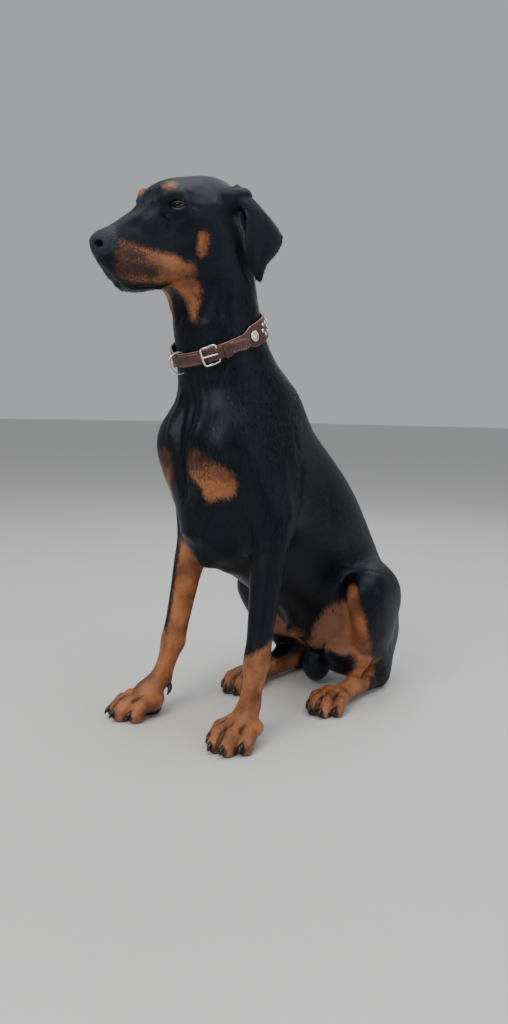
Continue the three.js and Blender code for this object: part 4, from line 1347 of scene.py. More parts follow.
    @staticmethod
    def blend(p: Array) -> Array:
        """Finds where the close smoothing goes: where the fillers meet the flesh.

        Args:
            p: Points of the dog's frame.

        Returns:
            How much each point takes of it, from 0 to 1.
        """
        made = np.zeros(len(p))
        for s in SIDES.values():
            eye = np.linalg.norm(p - HEAD.points(EYE_AT, s), axis=1)
            places = [
                (HEAD.points([(5, -108, -16), (10, -34, 8)], s), 24),
                (HEAD.points([(17, -60, -20), (16, -26, 12)], s), 24),
                (HEAD.points([(24, -48, -30), (24, -22, -8)], s), 22),
                (np.array([(s * 12, 4, 306), (s * 26, 40, 262)]), 46),
                (np.array([(s * 94, 262, 236), (s * 120, 296, 246)]), 26),
                (HEAD.points([(58, 104, -10), (62, 108, -60)], s), 15),
                (np.array([(s * 63, 205, 266), (s * 64, 246, 264)]), 48),
                (np.array([(s * 12, 88, 830), (s * 14, 112, 700)]), 48),
                (np.array([(s * 50, 298, 66), (s * 104, 306, 66)]), 34),
            ]
            for (start, end), radius in places:
                inside = smoothstep(radius - to_line(p, start, end)[1], 0, radius * 0.4)
                made = np.maximum(made, inside * smoothstep(eye, 14, 19))
        return made

    def broad_smooth(self, source: Object, fine: Object) -> None:
        """Takes the facets out of the large muscles by smoothing a coarse skin and following it.

        Args:
            source: The joined flesh that the coarse skin is made from.
            fine: The fine skin, whose points follow the coarse one.
        """
        guide = self.remeshed(source, self.coarse)
        rest = coords(guide.data)
        p = Place.dog(rest)
        legs = smoothstep(p[:, 2], 330, 250) * smoothstep(p[:, 1], 150, 110)
        weight = self.calm(p) * (1 - 0.62 * legs)
        smooth = self.relax(guide.data, rest, weight, self.guide_rounds, shrink=True)
        moved = smooth - rest + normals(guide.data) * (self.swell * weight)[:, None]
        tris = triangles(guide.data)
        tree = BVHTree.FromPolygons(rest.tolist(), tris.tolist())
        co = coords(fine.data)
        weight = self.calm(Place.dog(co))
        moving = np.flatnonzero(weight > 0.001)
        found = [tree.find_nearest(co[i]) for i in moving]
        spots = np.array([hit[0] for hit in found])
        corners = tris[[hit[2] for hit in found]]
        a, b, c = (rest[corners[:, k]] for k in range(3))
        u, v, w = b - a, c - a, spots - a
        pairs = ((u, u), (u, v), (v, v), (w, u), (w, v))
        uu, uv, vv, wu, wv = ((x * y).sum(1) for x, y in pairs)
        spread = np.maximum(uu * vv - uv * uv, 1e-18)
        second, third = (vv * wu - uv * wv) / spread, (uu * wv - uv * wu) / spread
        share = np.stack([1 - second - third, second, third], 1)
        co[moving] += (moved[corners] * share[:, :, None]).sum(1)
        set_coords(fine.data, co)
        bpy.data.objects.remove(guide)

    def strokes(self) -> list[Stroke]:
        """Draws the grooves and ridges of the muscles, folds, lips and lids.

        Returns:
            The strokes of both sides.
        """
        made: list[Stroke] = []
        for s in SIDES.values():
            made += self.head_strokes(s)
            made += self.body_strokes(s)
        return made

    def head_strokes(self, s: float) -> list[Stroke]:
        """Draws one side's strokes on the head.

        Args:
            s: 1 for the left side, -1 for the right.

        Returns:
            The strokes.
        """

        def on(radius: float, depth: float, *path: Point) -> Stroke:
            """Returns a stroke through points of the head's frame."""
            return Stroke(tuple(map(tuple, HEAD.points(path, s))), radius, depth)

        return [
            on(3.4, 2.2, (2, -124, -86), (12, -114, -92), (20, -90, -97), (28, -64, -102),
               (34, -42, -105), (36, -26, -103)),
            on(7, -1.6, (14, -112, -84), (24, -88, -90), (31, -62, -95), (36, -40, -98)),
            on(9, 1.6, (24, -26, -34), (27, -50, -40), (26, -76, -44), (22, -98, -44)),
            on(8, 1.4, (50, 20, -30), (48, 10, -56), (44, -6, -78)),
            on(7, 1.3, (44, 10, 0), (52, 30, -10), (54, 54, -16)),
            on(5, 1.0, (22, -10, -12), (32, -16, -16), (42, -8, -17), (47, 4, -12)),
            on(4, -0.7, (20, -8, -6), (31, -17, -10), (43, -9, -10)),
            on(6, 1.1, (0, -20, 26), (0, 0, 38), (0, 30, 50)),
            on(3.2, 2.6, (15, -126, -31), (21, -115, -33), (25, -104, -35)),
            on(3.0, 1.3, (18, -100, -8), (25, -102, -26), (24, -108, -42)),
            on(12, 1.5, (46, 40, -60), (44, 30, -84), (34, 14, -100)),
        ]

    def body_strokes(self, s: float) -> list[Stroke]:
        """Draws one side's strokes on the neck, trunk and legs.

        Args:
            s: 1 for the left side, -1 for the right.

        Returns:
            The strokes.
        """

        def on(radius: float, depth: float, *path: Point) -> Stroke:
            """Returns a stroke through points of the dog's frame."""
            return Stroke(tuple((s * x, y, z) for x, y, z in path), radius, depth)

        return [
            on(13, 4.0, (52, 14, 700), (44, 4, 668), (34, -6, 636)),
            on(10, 5.5, (4, -24, 684), (6, -18, 662), (8, -12, 636)),
            on(15, 2.5, (58, 26, 640), (60, 22, 670), (60, 30, 706)),
            on(13, 6.5, (7, 2, 560), (10, -4, 510), (6, -16, 468), (3, -16, 418), (3, -4, 362)),
            on(13, -4.5, (24, 4, 548), (32, -8, 500), (22, -16, 456)),
            on(16, 3.5, (60, 24, 590), (62, 8, 540), (52, -8, 500)),
            on(14, 5.0, (100, 22, 470), (98, 28, 420), (92, 38, 372), (86, 52, 329), (85, 58, 281)),
            on(7, 3.6, (87, 150, 493), (92, 150, 468), (96, 155, 444)),
            on(10, -2.2, (86, 134, 486), (96, 134, 454), (104, 132, 424)),
            on(26, -3.0, (104, 100, 440), (122, 100, 380), (134, 92, 331)),
            on(15, 3.0, (100, 160, 440), (116, 146, 390), (122, 136, 330), (112, 126, 300)),
            on(20, 2.5, (96, 230, 430), (104, 236, 370), (104, 240, 310)),
            on(10, 3.6, (94, 262, 236), (108, 288, 244), (132, 300, 248), (150, 318, 240)),
            on(20, 3.5, (118, 300, 300), (122, 270, 270), (112, 246, 244)),
            on(16, 3.0, (104, 420, 250), (116, 380, 220), (124, 350, 170)),
            on(10, 2.0, (126, 330, 120), (130, 360, 100), (122, 380, 76)),
            on(9, 1.2, (122, 70, 300), (126, 66, 240), (126, 60, 180)),
            on(38, 9.0, (12, 2, 318), (17, 8, 284), (24, 44, 256), (20, 90, 240)),
        ]

    def paw_strokes(self) -> list[Stroke]:
        """Draws the clefts between the toes, the tendons above them and the toes' knuckles.

        Returns:
            The strokes of all four paws.
        """
        made = []

        def on(radius: float, depth: float, *path: Point) -> None:
            """Adds a stroke in the paw's own frame."""
            made.append(Stroke(tuple(map(tuple, paw_points(paw, path))), radius, depth))

        for paw in PAWS:
            for (x0, y0, _), (x1, y1, _) in zip(TOES, TOES[1:]):
                x, y = (x0 + x1) / 2, max(y0, y1)
                on(6.0, 2.6, (x * 0.8, y + 14, 40), (x * 0.95, y - 8, 36), (x, y - 24, 27),
                   (x * 1.05, y - 30, 8))
            for x, y, _ in TOES:
                on(5.5, -0.9, (x * 0.6, y + 34, 46), (x * 0.8, y + 16, 42), (x, y - 4, 40))
                on(4.5, 1.1, (x * 1.02 - 8, y - 13, 33), (x * 1.02, y - 17, 35),
                   (x * 1.02 + 8, y - 13, 33))
        return made

    def build(self) -> Object:
        """Builds the skin, inside the solids by the depth of the coat.

        Returns:
            The finished skin.
        """
        source = self.merged()
        obj = self.remeshed(source, self.cell)
        log.info("skin cells: %d", len(obj.data.vertices))
        self.broad_smooth(source, obj)
        bpy.data.objects.remove(source)
        co = coords(obj.data)
        weight = 0.35 + 0.65 * self.calm(Place.dog(co))
        co = self.relax(obj.data, co, weight, self.even_rounds)
        p = Place.dog(co)
        weight = np.maximum(self.blend(p), 0.8 * self.calm(p))
        co = self.relax(obj.data, co, weight, self.blend_rounds, shrink=True)
        set_coords(obj.data, co)
        n = normals(obj.data)
        p = Place.dog(co)
        for stroke in self.strokes() + self.paw_strokes():
            stroke.press(p, n)
        co = self.relax(obj.data, Place.world(p), 0.7 * self.calm(p), self.fold_rounds, shrink=True)
        p = Place.dog(co)
        from_nose = np.linalg.norm(p - HEAD.points((0, -120, -27)), axis=1)
        ahead = self.nose_reach * smoothstep(from_nose, 46, 14)
        p += HEAD.direction((0, -1, 0.1)) * ahead[:, None]
        p -= n * self.coat_depth(p)[:, None]
        p[:, 2] = np.maximum(p[:, 2], self.sole)
        co = self.relax(obj.data, Place.world(p), np.full(len(p), 0.5), self.last_rounds)
        set_coords(obj.data, co)
        ratio = self.faces / (2 * len(obj.data.polygons))
        apply_modifier(obj, "DECIMATE", ratio=min(1.0, ratio))
        make_active(obj)
        bpy.ops.object.shade_smooth()
        self.unwrap(obj)
        for name, values in self.markings.read(coords(obj.data)).items():
            add_value(obj.data, name, values)
        finish_piece(obj, "skin", CoatFinish().dress("skin_coat", tufts=False))
        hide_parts(*self.flesh)
        return obj

    @staticmethod
    def coat_depth(p: Array) -> Array:
        """Finds how far the skin lies inside the solids, which is less on the head and the feet.

        Args:
            p: Points of the dog's frame.

        Returns:
            The depth at each point.
        """
        head = smoothstep(head_height(p), 655, 720)
        feet = smoothstep(p[:, 2], 90, 40)
        return 1.9 - 0.9 * np.maximum(head, feet)

    @staticmethod
    def unwrap(obj: Object) -> None:
        """Unwraps the skin's own shape."""
        edit_all(obj, bpy.ops.uv.smart_project, angle_limit=math.radians(66), island_margin=0.002)


# The coat


@dataclass(frozen=True)
class Growth:
    """How the coat grows in one part of the body.

    Args:
        name: The piece's name.
        per_m2: Tufts for each square metre.
        length: A tuft's length.
        width: A tuft's width at its widest.
        lift: How steeply a tuft leaves the skin, in degrees.
        slot: The finish that the piece mostly has; not used.
    """

    name: str
    per_m2: float
    length: float
    width: float
    lift: float
    slot: str


GROWTHS = {
    "head": Growth("coat_head", 420000, 4.6, 0.42, 9, "black"),
    "neck": Growth("coat_neck", 230000, 7.5, 0.55, 9, "black"),
    "front": Growth("coat_chest", 190000, 9.0, 0.62, 9, "black"),
    "trunk": Growth("coat_trunk", 190000, 9.5, 0.62, 8, "black"),
    "fore": Growth("coat_forelegs", 260000, 5.5, 0.48, 9, "rust"),
    "hind": Growth("coat_hind_legs", 200000, 7.5, 0.55, 9, "black"),
    "feet": Growth("coat_feet", 380000, 3.6, 0.4, 10, "rust"),
}


@dataclass
class Coat:
    """Thin short tufts over the whole skin, lying the way the hair grows.

    Args:
        skin: The finished skin.
        markings: The coat's pattern.
        sway: How much the tufts differ in direction.
        sunk: How far a tuft's root lies in the skin, in metres.
        spot: How much of the skin's unwrap one tuft takes up.
    """

    skin: Object
    markings: Markings
    sway: float = 0.16
    sunk: float = 0.0002
    spot: float = 0.0014
    seed: int = 20240611
    rng: np.random.Generator = field(init=False)

    def __post_init__(self) -> None:
        """Starts the row of random draws, which is the same each run."""
        self.rng = np.random.default_rng(self.seed)

    @staticmethod
    def flow_guides() -> tuple[Array, Array]:
        """Lists the hair's directions at a few places, which the whole coat is blended from.

        Returns:
            The places and the directions.
        """
        body = [
            ((0, 30, 690), (0, 0.1, -1)), ((60, 50, 690), (0.1, 0.2, -1)),
            ((0, 120, 720), (0, 0.5, -1)), ((60, 70, 600), (0.2, 0.2, -1)),
            ((0, 160, 600), (0, 0.7, -0.8)), ((0, -10, 560), (0, -0.2, -1)),
            ((50, -10, 480), (0.3, -0.1, -1)), ((0, -40, 440), (0, 0.2, -1)),
            ((100, 90, 500), (0.1, 0.5, -1)), ((40, 0, 360), (0.1, 0.3, -1)),
            ((110, 90, 400), (0, 0.4, -1)), ((100, 180, 420), (0, 0.6, -0.8)),
            ((0, 240, 500), (0, 0.8, -0.7)), ((110, 260, 340), (0, 0.7, -0.7)),
            ((0, 340, 380), (0, 0.7, -0.8)), ((0, 120, 260), (0, 0.8, -0.5)),
            ((100, 380, 300), (0, 0.3, -1)), ((0, 450, 220), (0, 0.5, -1)),
            ((130, 300, 220), (0.1, -0.6, -0.8)), ((120, 400, 140), (0, -0.5, -0.7)),
            ((130, 290, 140), (0, 0.2, -1)), ((110, 350, 60), (0, -0.8, -0.4)),
            ((104, 280, 40), (0, -1, -0.3)), ((60, 320, 120), (-0.2, 0.3, -1)),
            ((104, 90, 300), (0, 0, -1)), ((108, 60, 160), (0, -0.1, -1)),
            ((106, 20, 50), (0, -0.7, -0.7)), ((104, -10, 30), (0, -0.9, -0.4)),
            ((100, 230, 30), (0, -0.9, -0.4)), ((0, 320, 40), (0, 0, -1)),
        ]
        head = [
            ((0, -120, -10), (0, 1, 0.2)), ((14, -118, -60), (0.2, 0.7, -0.7)),
            ((0, -60, 0), (0, 1, 0.3)), ((20, -60, -60), (0.2, 1, -0.3)),
            ((30, -10, 28), (0.3, 1, 0.2)), ((0, 20, 40), (0, 1, 0.1)),
            ((46, 10, -10), (0.1, 1, -0.1)), ((48, 30, -60), (0, 0.9, -0.5)),
            ((0, 80, 36), (0, 0.9, -0.4)), ((20, -60, -104), (0.2, 1, 0)),
            ((20, 20, -110), (0.2, 0.9, -0.5)), ((70, 124, 0), (0.5, 0.1, -1)),
            ((86, 120, -50), (0.1, 0, -1)), ((92, 100, -95), (0, -0.1, -1)),
            ((62, 146, -40), (0.2, 0.1, -1)),
        ]
        places, ways = [], []
        for s in SIDES.values():
            for at, way in body:
                places.append((s * at[0], at[1], at[2]))
                ways.append((s * way[0], way[1], way[2]))
            for at, way in head:
                places.append(HEAD.points(at, s))
                ways.append(HEAD.direction(way, s))
        return np.array(places, float), unit(np.array(ways, float))

    def grow_way(self, p: Array, n: Array) -> Array:
        """Finds which way the hair grows.

        Args:
            p: Points of the dog's frame.
            n: The skin's normals there.

        Returns:
            A direction for each point, lying in the skin.
        """
        places, ways = self.flow_guides()
        total = np.zeros_like(p)
        for at, way in zip(places, ways):
            away = ((p - at) ** 2).sum(1) + 60.0
            total += way / (away**2)[:, None]
        total = unit(total)
        return unit(total - n * (total * n).sum(1)[:, None])

    @staticmethod
    def zone_of(p: Array) -> Array:
        """Finds the part of the body that points belong to.

        Args:
            p: Points of the dog's frame.

        Returns:
            The part's name for each point.
        """
        zone = np.full(len(p), "trunk", dtype=object)
        z, y = p[:, 2], p[:, 1]
        zone[(y < 120) & (z < 560)] = "front"
        zone[z >= 560] = "neck"
        zone[head_height(p) > 700] = "head"
        zone[(y < 150) & (z < 300) & (np.abs(p[:, 0]) > 44)] = "fore"
        zone[(y >= 170) & (z < 330) & (np.abs(p[:, 0]) > 60)] = "hind"
        feet = ((z < 75) & (y < 120)) | ((z < 62) & (y < 345) & (y > 120))
        zone[feet & (np.abs(p[:, 0]) > 26)] = "feet"
        return zone

    def roots(self, growth: Growth, faces: Array, area: Array) -> tuple[Array, Array]:
        """Chooses where tufts stand.

        Args:
            growth: The part's growth.
            faces: The triangles of that part.
            area: Every triangle's area.

        Returns:
            The triangle of each tuft and its place in that triangle.
        """
        share = area[faces]
        count = int(growth.per_m2 * share.sum())
        chosen = self.rng.choice(faces, size=count, p=share / share.sum())
        u, v = self.rng.random((2, count))
        over = u + v > 1
        u, v = np.where(over, 1 - u, u), np.where(over, 1 - v, v)
        return chosen, np.stack([1 - u - v, u, v], 1)

    def tufts(self, growth: Growth, root: Array, n: Array, uv: Array) -> Object:
        """Grows one piece of coat.

        Args:
            growth: How this part grows.
            root: Where each tuft stands, in metres.
            n: The skin's normal there.
            uv: Where it stands on the skin's unwrap.

        Returns:
            The piece.
        """
        rng = self.rng
        count = len(root)
        way = self.grow_way(Place.dog(root), n)
        side = np.cross(n, way)
        way = unit(way + side * rng.normal(0, self.sway, count)[:, None])
        side = unit(np.cross(n, way))
        length = growth.length / 1000 * rng.uniform(0.65, 1.15, count)[:, None]
        width = growth.width / 2000 * rng.uniform(0.7, 1.2, count)[:, None]
        lift = np.radians(growth.lift * rng.uniform(0.5, 1.5, count))[:, None]
        root = root - n * self.sunk
        middle = root + way * length * 0.5 + n * (np.sin(lift) * length * 0.5)
        tip = root + way * length + n * (np.sin(lift) * length * 0.72)
        points = np.stack([root - side * width * 0.7, root + side * width * 0.7,
                           middle + side * width, middle - side * width, tip], 1)
        mesh = bpy.data.meshes.new(growth.name)
        start = np.arange(count)[:, None] * 5
        quad = start + np.array([3, 2, 1, 0])
        tri = start + np.array([4, 2, 3])
        loops = np.concatenate([quad, tri], 1).ravel()
        mesh.vertices.add(count * 5)
        mesh.vertices.foreach_set("co", points.astype(np.float32).ravel())
        mesh.loops.add(len(loops))
        mesh.loops.foreach_set("vertex_index", loops.astype(np.int32))
        mesh.polygons.add(count * 2)
        begins = (np.arange(count)[:, None] * 7 + np.array([0, 4])).ravel()
        mesh.polygons.foreach_set("loop_start", begins.astype(np.int32))
        mesh.update(calc_edges=True)
        spot = np.array([[-1, -1], [1, -1], [1, 0.2], [-1, 0.2], [0, 1.0]]) * self.spot
        layer = mesh.uv_layers.new(name="OFBake")
        spread = (uv[:, None, :] + spot[None]).reshape(-1, 2)
        layer.data.foreach_set("uv", spread[loops].astype(np.float32).ravel())
        values = self.markings.read(root)
        for name in ("rust", "smudge_and_shade"):
            add_value(mesh, name, np.repeat(values[name], 5))
        add_value(mesh, "shade", np.repeat(rng.random(count), 5))
        mesh.polygons.foreach_set("use_smooth", np.ones(count * 2, bool))
        mesh.normals_split_custom_set_from_vertices(np.repeat(n, 5, axis=0).tolist())
        return add_object(growth.name, mesh)

    def build(self) -> None:
        """Grows every piece of the coat."""
        mesh = self.skin.data
        tris, corners = triangles(mesh), triangles(mesh, "loops")
        flat = np.empty(len(mesh.loops) * 2, np.float32)
        mesh.uv_layers[0].data.foreach_get("uv", flat)
        flat = flat.reshape(-1, 2)
        co, n = coords(mesh), normals(mesh)
        a, b, c = (co[tris[:, i]] for i in range(3))
        area = np.linalg.norm(np.cross(b - a, c - a), axis=1) / 2
        middle = (a + b + c) / 3
        values = self.markings.read(middle)
        thin = values["bare"] > self.rng.uniform(0.2, 0.85, len(middle))
        bald = thin | (values["leather"] > 0.4) | self.hidden(middle)
        zone = self.zone_of(Place.dog(middle))
        material = CoatFinish().dress("tuft_coat", tufts=True)
        for name, growth in GROWTHS.items():
            faces = np.flatnonzero((zone == name) & ~bald)
            chosen, share = self.roots(growth, faces, area)
            root = (co[tris[chosen]] * share[:, :, None]).sum(1)
            normal = unit((n[tris[chosen]] * share[:, :, None]).sum(1))
            uv = (flat[corners[chosen]] * share[:, :, None]).sum(1)
            obj = self.tufts(growth, root, normal, uv)
            finish_piece(obj, growth.name, material)
            log.info("%s: %d triangles", growth.name, 3 * len(chosen))

    @staticmethod
    def hidden(points: Array) -> Array:
        """Finds where no coat grows: under the strap, in the eye sockets and below the feet.

        Args:
            points: Points in metres.

        Returns:
            True for each point that stays bald.
        """
        p = Place.dog(points)
        hide = p[:, 2] < 5
        level = (p - np.array(COLLAR.at)) @ COLLAR.up()
        hide |= (np.abs(level) < 9) & (np.linalg.norm(p - np.array(COLLAR.at), axis=1) < 110)
        for s in SIDES.values():
            eye = HEAD.points(EYE_AT, s)
            hide |= np.linalg.norm(p - eye, axis=1) < EYE_RADIUS + 2.4
        return hide


# Eyes, claws and whiskers


@dataclass(frozen=True)
class Eyes:
    """Both eyes with their lid rims; the half and the height are half an opening's sizes."""

    half: float = 11.4
    height: float = 5.2
    cornea: float = 0.9
    rim_section: tuple[float, float] = (1.5, 1.2)

    @staticmethod
    def basis(s: float) -> tuple[Array, Array, Array, Array]:
        """Finds where an eye lies and how its opening is turned.

        Args:
            s: 1 for the left side, -1 for the right.

        Returns:
            Its middle, its line of sight, and the ways across and up its opening.
        """
        out = HEAD.direction(EYE_LOOK, s)
        across = HEAD.direction(EYE_ACROSS, s)
        up = unit(np.cross(out, across))
        if up[2] < 0:
            up = -up
        return HEAD.points(EYE_AT, s), out, across, up

    def ball(self, name: str, s: float, material: Material) -> None:
        """Builds one eye with a bulging cornea.

        Args:
            name: The side's name.
            s: 1 for the left side, -1 for the right.
            material: The eye's finish.
        """
        obj = ball(48, 32)
        co = coords(obj.data)
        at, out, across, _ = self.basis(s)
        polar = np.arccos(np.clip(co[:, 2], -1, 1))
        bulge = self.cornea * smoothstep(polar, math.radians(36), math.radians(12))
        radius = EYE_RADIUS - 0.05 + bulge - 0.6
        turned = co[:, :1] * across + co[:, 1:2] * np.cross(out, across) + co[:, 2:] * out
        shape(obj, at + turned * radius[:, None])
        add_value(obj.data, "polar", polar / math.pi)
        finish_piece(obj, f"wet_eye_{name}", material)
        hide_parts(f"eye_{name}")

    def rim(self, name: str, s: float, material: Material) -> None:
        """Builds the dark rim of the lids round one eye.

        Args:
            name: The side's name.
            s: 1 for the left side, -1 for the right.
            material: The rim's finish.
        """
        at, out, across, up = self.basis(s)

        def path(turn: Array) -> tuple[Array, Array, Array]:
            """Finds the lids' edge on the eye.

            Args:
                turn: Angles round the opening.

            Returns:
                The edge's points and the section's two axes there.
            """
            a = self.half * signed_power(np.cos(turn), 0.9)
            b = self.height * np.sign(np.sin(turn)) * (1 - (a / self.half) ** 2)
            deep = np.sqrt(np.maximum((EYE_RADIUS + 0.9) ** 2 - a**2 - b**2, 4))
            middle = at + across * a[:, None] + up * b[:, None] + out * deep[:, None]
            first = unit(across * a[:, None] * 0.4 + up * b[:, None] + out * 0.01)
            return middle, first, np.broadcast_to(out, middle.shape)

        obj = loop_tube(path, self.rim_section, 56, 8)
        finish_piece(obj, f"lid_rim_{name}", material)

    def build(self) -> None:
        """Builds both eyes."""
        eye, rim = EyeFinish().dress(), LID_RIM.dress()
        for name, s in SIDES.items():
            self.ball(name, s, eye)
            self.rim(name, s, rim)


@dataclass(frozen=True)
class Claws:
    """One smooth horn on each toe, along a path from the toe's place, and the two dewclaws."""

    path: tuple[Point, ...] = (
        (0.0, -23.0, 18.0), (0.0, -32.0, 16.5), (0.0, -37.0, 12.5), (0.0, -39.8, 6.5),
    )
    radii: tuple[float, ...] = (3.2, 3.7, 3.2, 2.3, 0.9)
    dewclaw_radii: tuple[float, ...] = (4.2, 4.6, 3.4, 1.1)

    def build(self) -> None:
        """Builds all sixteen claws and the dewclaws."""
        material = HornFinish().dress()
        for paw in PAWS:
            scale = PAWS[paw][2]
            limb, side = paw.split("_")
            for i, (x, y, _) in enumerate(TOES):
                local = [(x * 1.12 + cx, y + cy, cz) for cx, cy, cz in self.path]
                obj = rod(paw_points(paw, local), [r * scale for r in self.radii], 14, 14)
                finish_piece(obj, f"horn_{limb}_{side}_{i + 1}", material)
                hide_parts(f"claw_{limb}_{side}_{i + 1}")
        for name, s in SIDES.items():
            x, y, _ = PAWS["fore_" + name][0]
            path = [(x - s * 16, y + 47, 50), (x - s * 23, y + 44, 41), (x - s * 25, y + 37, 31)]
            dewclaw = rod(path, self.dewclaw_radii, 14, 14)
            finish_piece(dewclaw, f"dewclaw_{name}", material)


@dataclass
class Whiskers:
    """Stiff hairs on the muzzle, the brows and the cheeks, in rows given in the head's frame."""

    skin: Object
    rows: tuple[Point, ...] = (
        (16, -118, -56), (22, -108, -58), (28, -94, -62), (20, -114, -66), (26, -102, -70),
        (31, -88, -73), (22, -108, -76), (28, -94, -81), (33, -78, -84), (27, -10, 30),
        (34, -2, 29), (50, 16, -66),
    )
    radii: tuple[float, ...] = (0.17, 0.15, 0.1, 0.05)
    shortest: float = 11.0
    longest: float = 17.0
    seed: int = 5
    tree: BVHTree = field(init=False)

    def __post_init__(self) -> None:
        """Makes the skin's faces quick to find."""
        mesh = self.skin.data
        self.tree = BVHTree.FromPolygons(coords(mesh).tolist(), triangles(mesh).tolist())

    def build(self) -> None:
        """Builds the whiskers as one piece."""
        hairs = []
        rng = np.random.default_rng(self.seed)
        for s in SIDES.values():
            back = HEAD.direction((0.5, 0.75, -0.45), s)
            for place in self.rows:
                spot, n, _, _ = self.tree.find_nearest(Vector(Place.world(HEAD.points(place, s))))
                root = Place.dog(np.array(spot))
                n = np.array(n)
                reach = rng.uniform(self.shortest, self.longest)
                way = unit(n * 0.8 + back)
                tip = root + way * reach + back * 2
                path = [root - n * 0.6, root + way * reach * 0.5 + n * 1.0, tip]
                hairs.append(rod(path, self.radii, 5, 6))
        finish_piece(join(hairs), "whiskers", WHISKER.dress())


# The collar


@dataclass(frozen=True)
class CollarSizes:
    """Where the collar lies and how large its parts are.

    Angles are in degrees round the neck, from the front towards the left.

    Args:
        at: The middle of the collar.
        tilt: How far it is turned about the dog's x axis, in degrees.
        thick: The strap's thickness.
        narrow: Its width at the throat.
        wide: Its width where the studs sit.
        tongue: The tongue's thickness.
        gap: The room between the strap and what lies on it.
        buckle: The buckle's angle, and below it those of the tongue's end, ring and large studs.
    """

    at: Point = (0.0, 64.0, 619.0)
    tilt: float = 26.0
    thick: float = 4.0
    narrow: float = 20.0
    wide: float = 33.0
    tongue: float = 2.4
    gap: float = 0.6
    buckle: float = 36.0
    tongue_end: float = 86.0
    ring: float = -9.0
    conchos: tuple[float, ...] = (95.0, 154.0, 213.0, 272.0, 331.0)

    def up(self) -> Array:
        """Returns the way across the strap, up the neck."""
        t = math.radians(self.tilt)
        return np.array([0, -math.sin(t), math.cos(t)])

    def out(self, deg: Array) -> Array:
        """Finds the way out of the neck.

        Args:
            deg: The angles.

        Returns:
            One direction for each angle.
        """
        a = np.radians(np.atleast_1d(np.asarray(deg, float)))
        front = unit(np.cross(self.up(), [-1, 0, 0]))
        return np.sin(a)[:, None] * np.array([1.0, 0, 0]) + np.cos(a)[:, None] * front

    def width(self, deg: Array) -> Array:
        """Returns the strap's width at angles, which is larger where the studs sit."""
        wider = smoothstep(np.mod(deg, 360), 80, 96) - smoothstep(np.mod(deg, 360), 322, 345)
        return self.narrow + (self.wide - self.narrow) * wider


COLLAR = CollarSizes()


